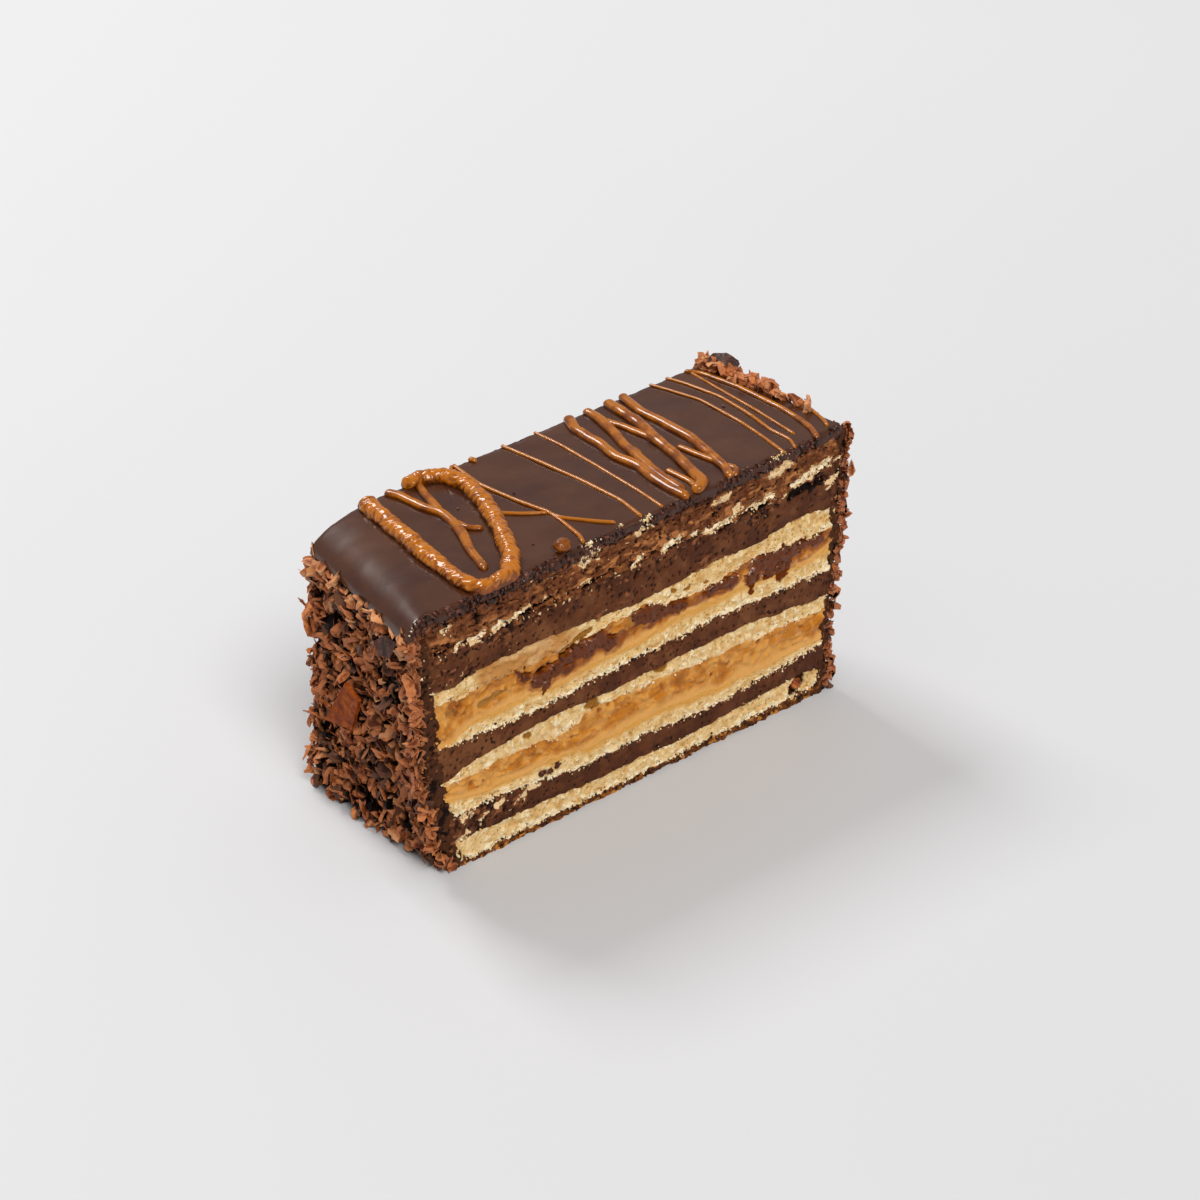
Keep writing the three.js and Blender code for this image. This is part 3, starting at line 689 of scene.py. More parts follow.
def finish(name, tones, cloud, grain, moist_dry, depth, stains=(), gloss=0.5, glow=None,
           shift=None, dry=None, stretch=1.0, patch=2.0):
    """A food finish.

    tones are its dark, middle and light colours, cloud their size, grain the size of its crumb,
    moist_dry its roughness at both, patch the size of its moist places, depth how deep the crumb
    is (mm), and stains are (mask name, colour, edge, break size) in the order they lie over each
    other. glow is how much light goes in and how far each colour goes (m). shift names the mask
    that moves the tones, dry the one of its dry places."""
    material, n, shader = new_material(name)
    drift = n.group(COLOUR_DRIFT, Dark=tones[0], Middle=tones[1], Light=tones[2], Cloud_Size=cloud)
    if shift:
        n.feed(drift.inputs["Shift"], n.math("MULTIPLY_ADD", n.mask(shift), 1.4, -0.7))
    crumb = n.group(CRUMB_GRAIN, Grain_Size=grain, Stretch=stretch)
    colour = drift.outputs["Color"]
    for mask, stain, edge, break_size in stains:
        laid = n.group(STAIN, Base=colour, Stain=stain, Mask=n.mask(mask), Edge=edge,
                       Break_Size=break_size)
        colour = laid.outputs["Color"]
    sheen = n.group(SHEEN_CHANGE, Moist=moist_dry[0], Dry=moist_dry[1], Patch_Size=patch)
    if dry:
        n.feed(sheen.inputs["Shift"], n.mask(dry))
    bump = n.add("ShaderNodeBump", Strength=0.8, Distance=depth * 0.001,
                 Height=crumb.outputs["Height"])
    n.feed(shader.inputs["Base Color"], colour)
    n.feed(shader.inputs["Roughness"], sheen.outputs["Roughness"])
    n.feed(shader.inputs["Normal"], bump.outputs["Normal"])
    n.feed(shader.inputs["Specular IOR Level"], gloss)
    if glow:
        n.feed(shader.inputs["Subsurface Weight"], glow[0])
        n.feed(shader.inputs["Subsurface Radius"], glow[1])
    return material


def shaving_finish(name, tones, moist_dry, rim, deep, gloss):
    """Torn chocolate: painted highlight along its rims, painted shade deep in the crust."""
    return finish(name, tones, 1.8, 0.6, moist_dry, 0.12,
                  [("pale_and_highlight", rim, 0.3, 0.6), ("hollow_shade", deep, 0.4, 0.9)], gloss=gloss, shift="tint")


def make_finishes():
    """All finishes of the slice, from the foot up and then what lies on it."""
    sponge_glow = (0.1, (0.0012, 0.0006, 0.0003))
    caramel_glow = (0.12, (0.002, 0.0009, 0.0003))
    # Painted light in the stains: hollow stains are painted shade in pores, gaps, creases and low
    # places, and in the caramel they also carry its real dark orange halo round the chocolate; pit
    # stains are painted shade in holes. Pale stains are real pale crumbs, flecks and golden bands,
    # and painted highlight on the sponge's crumb tops, the caramel's lump tops, the shavings' rims
    # and the ropes' wrinkle crests.
    return {
        "sponge": finish(
            "pale_sponge_crumb", ("#d8a968", "#eac587", "#f7d8a2"), 2.4, 0.35, (0.8, 0.95), 0.45,
            [("hollow_shade", "#c2924e", 0.3, 0.4), ("pale_and_highlight", "#ffeec8", 0.35, 0.4),
             ("gold", "#dea350", 0.5, 1.0), ("stain", "#c0874a", 0.45, 1.6),
             ("glow", "#dbb07a", 0.5, 1.4), ("amber", "#9c6824", 0.5, 0.8),
             ("run", "#6a2c00", 0.4, 0.9), ("pit_shade", "#3a1d0c", 0.25, 0.4)],
            gloss=0.12, glow=sponge_glow),
        "cream": finish(
            "chocolate_cream", ("#4a2716", "#5c331c", "#6e4326"), 5.0, 0.45, (0.45, 0.65), 0.12,
            [("stain", "#835030", 0.3, 0.6), ("pale_and_highlight", "#dfbf92", 0.12, 0.4),
             ("hollow_shade", "#2a140c", 0.3, 0.5), ("pit_shade", "#120602", 0.2, 0.4)],
            gloss=0.1, shift="tint", stretch=1.4),
        "caramel": finish(
            "caramel_filling", ("#8f4e08", "#b66f14", "#cd9040"), 4.5, 0.9, (0.12, 0.3), 0.04,
            [("pale_and_highlight", "#d9a055", 0.5, 2.4), ("hollow_shade", "#824008", 0.4, 1.0),
             ("stain", "#5e2a08", 0.3, 0.8), ("amber", "#9c6824", 0.5, 0.8),
             ("pit_shade", "#240e05", 0.25, 0.5)],
            gloss=0.28, glow=caramel_glow, shift="tint", dry="stain", stretch=2.2),
        "crumb": finish(
            "chocolate_crumb_mass", ("#4e2712", "#693b20", "#855230"), 1.8, 0.45, (0.5, 0.85), 0.25,
            [("stain", "#a96d3e", 0.4, 0.5), ("pale_and_highlight", "#dfbf92", 0.15, 0.4),
             ("hollow_shade", "#28120a", 0.25, 0.4), ("pit_shade", "#120602", 0.2, 0.4)], gloss=0.1),
        "broken": finish(
            "broken_sponge_line", ("#5e341a", "#7a4725", "#996233"), 1.2, 0.4, (0.75, 0.95), 0.25,
            [("stain", "#a56f3e", 0.35, 0.6), ("pale_and_highlight", "#f3e2c0", 0.2, 0.4),
             ("hollow_shade", "#2a1208", 0.3, 0.4), ("pit_shade", "#120602", 0.2, 0.4)],
            gloss=0.12, glow=sponge_glow),
        "base": finish(
            "browned_base_crumb", ("#371a0a", "#5f3415", "#8e5521"), 1.2, 0.5, (0.5, 0.9), 0.3,
            [("pale_and_highlight", "#b87830", 0.2, 0.5), ("hollow_shade", "#170903", 0.25, 0.5)], gloss=0.1),
        "glaze": finish(
            "poured_chocolate_glaze", ("#3b1d11", "#432312", "#4b2916"), 16.0, 3.0, (0.2, 0.26),
            0.02, [("stain", "#3f2115", 0.25, 0.8)], gloss=0.33, patch=9.0),
        "caramel_rope": finish(
            "thick_caramel_sauce", ("#602c00", "#884400", "#ac620a"), 2.4, 1.4, (0.07, 0.13), 0.03,
            [("pale_and_highlight", "#b26c12", 0.4, 1.2)], gloss=0.42, glow=caramel_glow, shift="tint"),
        "caramel_strand": finish(
            "thin_caramel_sauce", ("#683200", "#824300", "#a05c06"), 3.4, 1.4, (0.12, 0.2), 0.005,
            [("pale_and_highlight", "#b87a2c", 0.4, 1.2)], gloss=0.4, glow=caramel_glow, shift="tint"),
        "milk_shavings": shaving_finish(
            "milk_chocolate_shavings", ("#58230a", "#944a1e", "#cb8049"), (0.4, 0.65),
            "#b57048", "#100401", gloss=0.18),
        "dark_shavings": shaving_finish(
            "dark_chocolate_shavings", ("#2e150c", "#452317", "#603826"), (0.3, 0.55),
            "#6b4632", "#0e0504", gloss=0.16),
        "tan_shavings": shaving_finish(
            "orange_brown_shavings", ("#86441f", "#a95f34", "#c8824f"), (0.4, 0.65),
            "#cc9468", "#2a1006", gloss=0.18),
        "shard": finish(
            "flat_shard_chocolate", ("#662504", "#803604", "#9a4a0e"), 1.6, 0.5, (0.45, 0.7), 0.1,
            gloss=0.12),
        # The bed's very dark tones are partly painted shade in the gaps between the shavings.
        "shavings_bed": finish(
            "shavings_bed", ("#1a0b05", "#2c160b", "#442616"), 1.4, 0.6, (0.5, 0.8), 0.3,
            [("stain", "#472715", 0.3, 0.8), ("pale_and_highlight", "#7a4a2a", 0.25, 0.5),
             ("hollow_shade", "#180a05", 0.3, 0.5)], gloss=0.1),
        "pale_crumbs": finish(
            "loose_sponge_crumbs", ("#d4ae78", "#e8cf9f", "#f6e8ca"), 1.0, 0.3, (0.8, 0.95), 0.15,
            gloss=0.12, glow=sponge_glow, shift="tint"),
        "dark_crumbs": finish(
            "loose_chocolate_crumbs", ("#26100a", "#48220f", "#7c401f"), 1.0, 0.4, (0.3, 0.6), 0.15,
            gloss=0.35, shift="tint"),
        "glaze_rubble": finish(
            "torn_glaze_crumbs", ("#210f09", "#3c1f14", "#603526"), 1.0, 0.6, (0.3, 0.6), 0.1,
            gloss=0.35, shift="tint"),
    }


# ---- Relief of the cut faces ---------------------------------------------------------------
def flowing(seed, x, z):
    """Soft lumps of a filling that was pulled along by the knife (0 to 1), thin folds, and the
    bent places they were found at."""
    bent_x = x + 2.0 * noise(seed, 4.5, x, z)
    bent_z = z + 1.1 * noise(seed + 1, 4.0, x, z)
    lump = 1 - np.abs(fractal(seed + 3, (6.0, 2.2), 2, bent_x, bent_z))
    fold = ramp(0.1, 0.0, np.abs(noise(seed + 7, (7, 3), bent_x, bent_z)))
    fold = fold * ramp(0.0, 0.5, noise(seed + 8, 4, x, z))
    return lump, fold, bent_x, bent_z


def sponge_relief(x, z, up, seed, place):
    """Fine crumb with small pores, torn along its lower edge and smooth where caramel soaked in."""
    fine = 0.6 * fractal(seed, (0.9, 1.3), 2, x + 0.3 * z, z)
    fine = fine + 0.5 * knobs(seed + 1, 0.85, x, z) - 0.22
    pore = hollows(seed + 20, 0.9, 0.4, x, z)
    low_edge = ramp(0.35, 0.03, up + 0.2 * noise(seed + 24, 1.8, x, z))
    bite = hollows(seed + 27, 0.85, 0.6, x, z) * low_edge
    soaked = np.clip(place["soak"] * (1 + 0.25 * noise(seed + 30, (5, 2), x, z)), 0, 1)
    lump = knobs(seed + 33, 3.4, x, 1.3 * z)
    gold = np.clip(place["gold"], 0, 1)
    crisp = lerp(-0.1 + 0.42 * fine - 0.32 * pore - 0.75 * bite, -0.14, 0.7 * gold)
    outward = lerp(crisp, -0.35 + 0.6 * lump, soaked)
    dry = (1 - soaked) * (1 - 0.6 * gold)
    glow = soaked * ramp(-0.3, 0.7, noise(seed + 34, (4, 2), x, z))
    # Painted shade in the pores, the low crumb and the bites of the lower edge; painted highlight
    # on the crumb tops, beside the real whitish crumbs of the lower edge.
    shade = 0.12 + 0.25 * ramp(0.1, -0.6, fine) + 0.7 * pore - 0.2 * low_edge
    return outward - 0.15 * place["run"], {
        "hollow_shade": np.clip(shade, 0, 1) * dry,
        "pale_and_highlight": np.clip(0.75 * ramp(0.0, 0.5, fine) + 0.75 * low_edge, 0, 1) * dry,
        "gold": place["gold"] * (1 - soaked), "stain": soaked, "glow": glow,
        "run": place["run"], "pit_shade": bite}


def cream_relief(x, z, up, seed, place):
    """Smooth cream with small pores, torn where crumbs were pulled through it."""
    torn = np.clip(place["torn"] + 0.5 * noise(seed, (6, 2.2), x, z), 0, 1)
    pore = hollows(seed + 3, 1.0, 0.3 + 0.4 * torn, x, z * 0.8)
    large = hollows(seed + 9, 1.6, 0.1 + 0.3 * torn, x, z * 1.2) * torn
    smear = fractal(seed + 13, (5.0, 1.6), 2, x, z)
    rough = fractal(seed + 17, 1.3, 3, x, z)
    fleck = ramp(0.25, 0.8, fractal(seed + 40, (1.5, 0.9), 2, x, z)) * ramp(0.1, 0.8, torn)
    outward = (0.08 + 0.12 * smear - 0.45 * pore - 0.6 * large + torn * (0.5 * rough - 0.15)
               + 0.15 * fleck)
    pale_and_highlight = ramp(0.68, 0.9, noise(seed + 23, 0.7, x, z) + 0.3 * ramp(0.8, 1.0, up)) * torn
    # Painted shade in the pores, the large pores and the low torn places; the pale specks are real.
    return outward, {
        "hollow_shade": np.clip(1.2 * pore + torn * ramp(0, -0.8, rough), 0, 1), "pit_shade": large,
        "stain": np.clip(0.8 * fleck + 0.5 * torn * ramp(0.1, 0.7, rough), 0, 1), "pale_and_highlight": pale_and_highlight}


def caramel_relief(x, z, up, seed, place):
    """Glossy soft lumps; chocolate lies in it as dry ragged patches in a dark orange halo."""
    lump, fold, bent_x, bent_z = flowing(seed, x, z)
    soft = knobs(seed + 5, 4.2, bent_x, 1.3 * bent_z)
    bubble = hollows(seed + 9, 2.4, 0.12, x, z)
    calm = 1 - place["gold"]
    run, halo = place["run"], place["halo"]
    groove = np.clip(place["run_below"] - run, 0, 1)
    rough = fractal(seed + 15, 1.3, 3, x, z)
    pore = hollows(seed + 18, 1.0, 0.55, x, z) * run
    wet = -0.14 + calm * (0.3 * lump + 0.55 * soft + 0.2 * fold - 0.4 - 0.45 * bubble)
    outward = lerp(wet, -0.12 + 0.4 * rough, run) - 0.8 * groove - 0.5 * pore
    # Painted highlight on the lump tops, beside the real golden band next to the sponge; painted
    # shade in the bubbles, the creases, the groove under each chocolate run and the pores of the
    # runs, beside the real dark orange halo round the runs.
    light = ramp(0.1, 1.0, soft) * ramp(-0.5, 0.5, noise(seed + 21, (8, 3), x, z))
    pale_and_highlight = 0.9 * place["gold"] + calm * 0.5 * light
    crease = ramp(0.35, 0.0, soft) * ramp(-0.3, 0.4, noise(seed + 24, 3.5, x, z))
    shade = 0.7 * bubble * calm + 0.75 * halo * (1 - run) + groove + 0.28 * calm * crease
    return outward, {"hollow_shade": np.clip(shade, 0, 1), "stain": run,
                     "pale_and_highlight": np.clip(pale_and_highlight, 0, 1) * (1 - run), "pit_shade": pore}


def crumb_relief(x, z, up, seed, place):
    """Chocolate crumb pressed into a mass, torn along the slice."""
    rough = fractal(seed, (2.2, 0.9), 4, x, z)
    gap = hollows(seed + 5, 1.4, 0.5, x * 0.8, z * 1.3)
    small = hollows(seed + 11, 0.8, 0.5, x, z)
    crack = ramp(0.06, 0.0, np.abs(noise(seed + 14, (6, 2.4), x, z)))
    crack = crack * ramp(0.0, 0.5, noise(seed + 15, 5, x, z))
    outward = -0.12 + 0.55 * rough - 0.8 * gap - 0.3 * small - 0.6 * crack
    patch = fractal(seed + 17, (2.2, 0.8), 3, x, z) + 0.35 * ramp(0.45, 0.0, up)
    stain = 0.9 * ramp(0.05, 0.75, patch)
    stain = stain * lerp(1, 0.45, ramp(38, 18, x) * ramp(0.15, 0.4, up))
    pale_and_highlight = ramp(0.82, 0.97, noise(seed + 21, 0.7, x, z)) * 0.8
    # Painted shade in the gaps, small pores, cracks and low places; also darker towards the top,
    # under the glaze. The pale specks are real.
    shade = 0.9 * gap + 0.5 * small - 0.5 * rough + 0.6 * ramp(0.7, 1.0, up)
    return outward, {"hollow_shade": np.clip(shade, 0, 1), "pit_shade": np.maximum(gap ** 2, crack),
                     "stain": stain, "pale_and_highlight": pale_and_highlight}


def broken_relief(x, z, up, seed, place):
    """The crumbled sponge: scraps of it in a brown torn line."""
    rough = fractal(seed + 5, (1.6, 0.9), 3, x, z)
    gap = hollows(seed + 9, 1.3, 0.45, x, z)
    # Painted shade in the low places and the gaps; the pale scraps are real.
    return -0.3 + 0.5 * rough - 0.6 * gap, {
        "hollow_shade": np.clip(ramp(0.1, -0.6, rough), 0, 1), "pit_shade": gap,
        "pale_and_highlight": 0.8 * ramp(0.55, 0.9, noise(seed, (2.2, 0.8), x, z))}


def base_relief(x, z, up, seed, place):
    """Browned crumb with open pores, lighter at its foot."""
    rough = fractal(seed, (1.8, 0.9), 3, x, z)
    gap = hollows(seed + 5, 1.2, 0.5, x, z)
    fleck = ramp(0.35, 0.8, noise(seed + 9, (1.1, 0.6), x, z) + 0.3 * ramp(0.5, 0.1, up))
    # Painted shade in the pores; the pale flecks are real.
    return -0.1 + 0.5 * rough - 0.4 * gap, {"hollow_shade": gap, "pale_and_highlight": fleck}


RELIEFS = {"sponge": sponge_relief, "cream": cream_relief, "caramel": caramel_relief,
           "crumb": crumb_relief, "broken": broken_relief, "base": base_relief}


def layer_story(name, x, up, shown):
    """Where a layer is soaked with caramel, golden beside it, or torn."""
    soak, gold, torn = 0 * x, 0 * x, 0 * x
    if name == "sponge_1":
        if shown:
            soak = ramp(6, 12, x) * ramp(40, 30, x)
        else:
            soak = 0.8 * ramp(60, 70, x) * ramp(100, 90, x)
        gold = 0.4 * ramp(0.35, 0.0, up)
    elif name in ("sponge_2", "sponge_4"):
        gold = ramp(0.5, 1.0, up + 0.12 * noise(SEED, 5, x))
    elif name == "sponge_3":
        gold = 0.5 * ramp(0.3, 0.0, up)
    elif name.startswith("caramel"):
        gold = ramp(0.4, 0.0, up + 0.1 * noise(SEED + 1, 6, x))
    elif name == "chocolate_cream_1":
        torn = 0.25 + 0.5 * ramp(0.5, 1.0, up) + 0.2 * ramp(45, 25, x)
    elif name == "chocolate_cream_2":
        torn = 0.8 * ramp(0.6, 1.0, up)
    elif name == "chocolate_cream_3":
        torn = np.maximum(0.8 * ramp(28, 20, x), 0.7 * ramp(0.7, 1.0, up))
    return soak, gold, torn


def cut_face(index, shown, x, z, up):
    """How far the points of a layer's cut face stand out, and its masks."""
    name, _, kind = LAYERS[index]
    step = 0 if shown else HIDDEN_STEP
    seed, mark_seed = SEED + LAYER_STEP * index + step, SEED + MARK_STEP + step
    runs, holes, fragments = SHOWN_MARKS if shown else HIDDEN_MARKS
    runs = runs if name in RUN_LAYERS else []
    run, run_below, halo = (near_strokes(x, z - lower, runs, mark_seed, (2.6, 1.5), 0.9, soft)
                            for lower, soft in ((0, 0.5), (0.8, 0.5), (-0.2, 1.7)))
    soak, gold, torn = layer_story(name, x, up, shown)
    outward, found = RELIEFS[kind](x, z, up, seed, {
        "soak": soak, "gold": gold, "torn": torn, "run": run, "run_below": run_below, "halo": halo})
    # Torn holes are painted dark inside as shade; the sponge clumps take the painted shade off
    # where they lie.
    hole = near_strokes(x, z, holes, mark_seed + 34, 1.4, 0.35)
    clump, around = (near_strokes(x, z, fragments, seed + 37, (1.4, 0.8), 1.1, soft)
                     for soft in (0.4, 1.6))
    found["pit_shade"] = np.maximum(found.get("pit_shade", 0) * (1 - clump), hole)
    found["hollow_shade"] = found["hollow_shade"] * (1 - 0.8 * clump)
    found["pale_and_highlight"] = np.maximum(found["pale_and_highlight"], clump) * (1 - hole)
    if kind in ("crumb", "broken", "cream"):
        found["stain"] = np.maximum(found.get("stain", 0), 0.8 * around) * (1 - clump)
    if kind in ("caramel", "sponge") and shown:
        found["amber"] = near_strokes(x, z, AMBER_PITS, mark_seed + 39, 1.5, 0.5)
        outward = outward - 0.35 * found["amber"]
    return np.clip(outward, -1.5, CUT_LIMIT - 0.05) - 1.3 * hole, found


def make_layer(index, finishes):
    """One layer of the slice, from end to end and from cut to cut."""
    name, thick, kind = LAYERS[index]
    grid = CUT_GRID.get(kind, PLAIN_GRID)
    rows = max(4, round(max(thick) * 1.05 / grid))
    columns = round((FAR_FOOT - NEAR_FOOT + LEAN_ROOM) / grid)
    shares, faces = box_grid((columns, SOLE_STEPS if index == 0 else 1, rows))
    along, across, up = shares.T
    y = across * WIDTH
    low_x, low_z = meeting_line(index, along, across)
    if index == len(LAYERS) - 1:
        rough = frame_level(index + 1, along, across)
        high_x = lerp(near_end(y, rough), far_end(y, rough), along)
        high_z = glaze_surface(high_x, across, GLAZE_THICKNESS) - 0.1
    else:
        high_x, high_z = meeting_line(index + 1, along, across)
    high_z = np.maximum(high_z, low_z + 0.05)
    x, z = lerp(low_x, high_x, up), lerp(low_z, high_z, up)
    for side, from_end in ((-1, x - near_end(y, z)), (1, far_end(y, z) - x)):
        uneven = 1.3 * noise(END_SEED + side, 2.6, z, y / 3)
        uneven = uneven + 0.5 * noise(END_SEED + 4 + side, 0.9, z, y)
        x = x - side * np.maximum(uneven, -END_LIMIT) * ramp(6, 0, from_end)
    masks = {}
    if name in FILLING_TINT:
        masks["tint"] = np.clip(FILLING_TINT[name] + 0.2 * noise(SEED, 12, x, z), 0, 1)
    for shown, face in ((True, across == 0), (False, across == 1)):
        outward, found = cut_face(index, shown, x[face], z[face], up[face])
        edge = np.minimum(along[face], 1 - along[face]) * columns
        outward = outward - 0.35 * ramp(3, 0, edge)
        y[face] += -outward if shown else outward
        for key, values in found.items():
            masks.setdefault(key, np.zeros(len(x)))[face] = values
    if index == 0:
        under = (up == 0) & (across > 0) & (across < 1)
        z[under] += 0.25 * np.abs(fractal(SOLE_SEED, 2.5, 3, x[under], y[under]))
    make_piece(name + "_crumb", np.stack([x, y, z], 1), faces, finishes[kind],
               [name], masks)


# ---- Glaze and the caramel on it ---------------------------------------------------------
def make_glaze(finishes):
    """The poured sheet, with its roll over the near end and its torn edges at the cuts."""
    shares, faces = box_grid(GLAZE_GRID)
    along, across, up = shares.T
    rim_share = RIM_WIDTH / WIDTH
    across = np.interp(across, (0, RIM_STEPS, 1 - RIM_STEPS, 1), (0, rim_share, 1 - rim_share, 1))
    y = across * WIDTH
    edge, reach, drop = lip(across)
    inset = GLAZE_THICKNESS * (1 - up)
    rolled = along < ROLL_SHARE
    angle = np.where(rolled, (1 - along / ROLL_SHARE) * math.pi / 2, 0)
    share = np.clip((along - ROLL_SHARE) / (1 - ROLL_SHARE), 0, 1)
    flat_x = lerp(edge + reach, far_end(y, GLAZE_TOP[2]), share)
    x = np.where(rolled, edge + reach - (reach - inset) * np.sin(angle), flat_x)
    z = np.where(rolled, glaze_top(x, across) - drop + (drop - inset) * np.cos(angle),
                 glaze_top(x, across) - inset)
    rim = np.minimum(across, 1 - across) * WIDTH
    side = (across == 0) | (across == 1)
    seed = GLAZE_SEED
    swell = 0.10 * noise(seed, (14, 11), x, y) + 0.04 * noise(seed + 1, (5, 4), x, y)
    torn = ramp(1.4, 0.2, rim + 0.8 * noise(seed + 3, 2.6, x, y))
    torn = torn * (0.5 + 0.45 * fractal(seed + 4, 1.1, 3, x, y))
    torn = torn * np.where(across > 0.5, 0.35, 1)
    z = z + np.where(up == 1, swell - 0.1 - 0.9 * torn, 0)
    hang = fractal(seed + 7, (1.8, 2), 3, x, y)
    z = z - np.where(side & (up == 0), 0.1 + 0.7 * hang, 0)
    tatter = fractal(seed + 5, (1.9, 3), 3, x, y) * (1 - 0.6 * up)
    tatter = tatter + 0.6 * fractal(seed + 9, 0.9, 2, x, z)
    outward = np.where(side, np.clip(0.35 * tatter - 0.35 * up, -1.0, CUT_LIMIT - 0.15), 0)
    y = y + np.where(across == 0, -outward, outward)
    stain = np.where(side, 1.0, ramp(0.2, 0.7, torn))
    make_piece("glaze_sheet", np.stack([x, y, z], 1), faces, finishes["glaze"],
               ["chocolate_glaze"], {"stain": stain}, crease=60)


def travelled(line):
    """How far along a line each of its points lies."""
    return np.concatenate([[0], np.cumsum(np.hypot(*np.diff(line, axis=0).T))])


def smooth_path(bends, step, soften=2.2, fine_step=0.2):
    """Points a step apart on a line with these bends, its corners rounded."""
    bends = np.array(bends, float)
    run = travelled(bends)
    fine = np.arange(0, run[-1], fine_step)
    line = np.stack([np.interp(fine, run, bends[:, k]) for k in (0, 1)], 1)
    window = max(3, int(soften / fine_step) * 2 + 1)
    blur = np.hanning(window + 2)[1:-1]
    half = window // 2
    ends = np.pad(line, ((half, half), (0, 0)), mode="reflect", reflect_type="odd")
    line = np.stack([np.convolve(ends[:, k], blur / blur.sum(), mode="valid") for k in (0, 1)], 1)
    run = travelled(line)
    spots = np.linspace(0, run[-1], max(4, int(run[-1] / step) + 1))
    return np.stack([np.interp(spots, run, line[:, k]) for k in (0, 1)], 1), spots


def caramel_strand(radius, bends, sides, step, fold, flat, seed):
    """Points, faces and masks of one strand lying on the glaze. sides is the number of points
    around it, step how far apart its rings are, fold the share that its wrinkles stand out, and
    flat its height as a share of its width."""
    line, run = smooth_path(bends, step)
    tangent = np.gradient(line, axis=0)
    tangent /= np.maximum(np.linalg.norm(tangent, axis=1, keepdims=True), 1e-6)
    sideways = np.stack([tangent[:, 1], -tangent[:, 0]], 1)
    turn = np.linspace(0, 2 * math.pi, sides, endpoint=False)
    at, around = np.meshgrid(run, turn, indexing="ij")
    from_end = np.minimum(at, run[-1] - at)
    ending = np.sqrt(np.clip(1 - np.clip(1 - from_end / radius, 0, 1) ** 2, 0.02, 1))
    pace = 0.8 * radius + 0.3
    slant = 0.6 * np.cos(around) + 0.9 * noise(seed, 2.4, at, around * radius)
    slant = slant + 0.8 * noise(seed + 6, 6, at)
    wrinkle = np.abs(np.sin(math.pi * (at / pace + slant)))
    lumpy = 1 + 0.10 * noise(seed + 1, 3.0, at, around * radius) + 0.07 * noise(seed + 2, 9, at)
    lumpy = lumpy + 0.6 * fold * noise(seed + 3, (0.9, 1.2), at, around * radius)
    size = radius * lumpy * (1 + fold * (wrinkle ** 0.8 - 0.55)) * ending
    x = line[:, 0][:, None] + sideways[:, 0][:, None] * np.cos(around) * size
    y = line[:, 1][:, None] + sideways[:, 1][:, None] * np.cos(around) * size
    rest = glaze_surface(x, np.clip(y / WIDTH, 0, 1), 0) - 0.12
    z = rest + flat * radius * 0.42 * ending + np.sin(around) * size * flat
    z = np.maximum(z, rest - 0.35)
    y = np.clip(y, -SAUCE_LIMIT + 0.1 * noise(seed + 4, 0.8, x, z), WIDTH + SAUCE_LIMIT)
    rings = np.stack([x, y, z], -1)
    first_hub, last_hub = rings[0].mean(0), rings[-1].mean(0)
    number = np.arange(len(line) * sides).reshape(len(line), sides)
    ahead = np.roll(number, -1, axis=1)
    hub = np.full(sides, number.size)
    faces = np.concatenate([
        np.stack([number[:-1], ahead[:-1], ahead[1:], number[1:]], -1).reshape(-1, 4),
        np.stack([hub, number[0], ahead[0], hub], 1),
        np.stack([hub + 1, ahead[-1], number[-1], hub + 1], 1)])
    # Painted shading: each strand is lighter on top and darker at its sides, where the dark glaze
    # also shows through the thin caramel; the ropes get a painted highlight on the upper crests of
    # their wrinkles.
    tint = np.clip(0.5 + 0.15 * noise(seed + 5, 6, at) + 0.45 * (np.sin(around) - 0.4), 0, 1)
    pale_and_highlight = np.clip(wrinkle - 0.4, 0, 1) * (np.sin(around) > 0) * (fold > 0)
    return np.concatenate([rings.reshape(-1, 3), [first_hub, last_hub]]), faces, {
        "tint": np.append(tint.ravel(), [0.5, 0.5]), "pale_and_highlight": np.append(pale_and_highlight.ravel(), [0, 0])}


def make_strands(name, strands, material, sides, step, fold, flat, tone=0.0):
    """All strands of one kind, joined as one piece; tone moves their colour."""
    points, faces, masks = joined(
        caramel_strand(radius, bends, sides, step, fold, flat, STRAND_SEED + 10 * number)
        for number, (radius, bends) in enumerate(strands))
    masks["tint"] = masks["tint"] + tone
    make_piece(name, points, faces, material, ["chocolate_glaze"], masks, crease=80)


# ---- Shavings on the ends ------------------------------------------------------------------
def crust_top(side, across):
    """Height of the top edge of one end's shavings."""
    if side > 0:
        return glaze_top(FAR_FOOT, across) + FAR_CRUST_RISE
    edge, _, drop = lip(across)
    return glaze_top(edge, across) - drop - 0.3


def end_surface(side, y, z):
    """X of the near end (side -1) or of the far end (1), under the shavings."""
    return near_end(y, z) if side < 0 else far_end(y, z)


def bed_depth(side, y, z):
    """How thick the chocolate under the shavings is: thickest low down, beside the shown cut."""
    seed = BED_SEED + side
    thick = 0.8 + 0.8 * fractal(seed, 3.2, 3, y, z) - 0.6 * hollows(seed + 10, 2.4, 0.6, y, z)
    beside = ramp(4, 0, y) + ramp(WIDTH - 4, WIDTH, y)
    thick = thick + beside * (0.5 + 0.9 * noise(seed + 7, 2.2, y / 3, z))
    if side < 0:
        thick = thick + 2.2 * ramp(46, 34, z) * ramp(2, 9, z) * ramp(12, 0, y)
    return np.maximum(thick, 0.3)


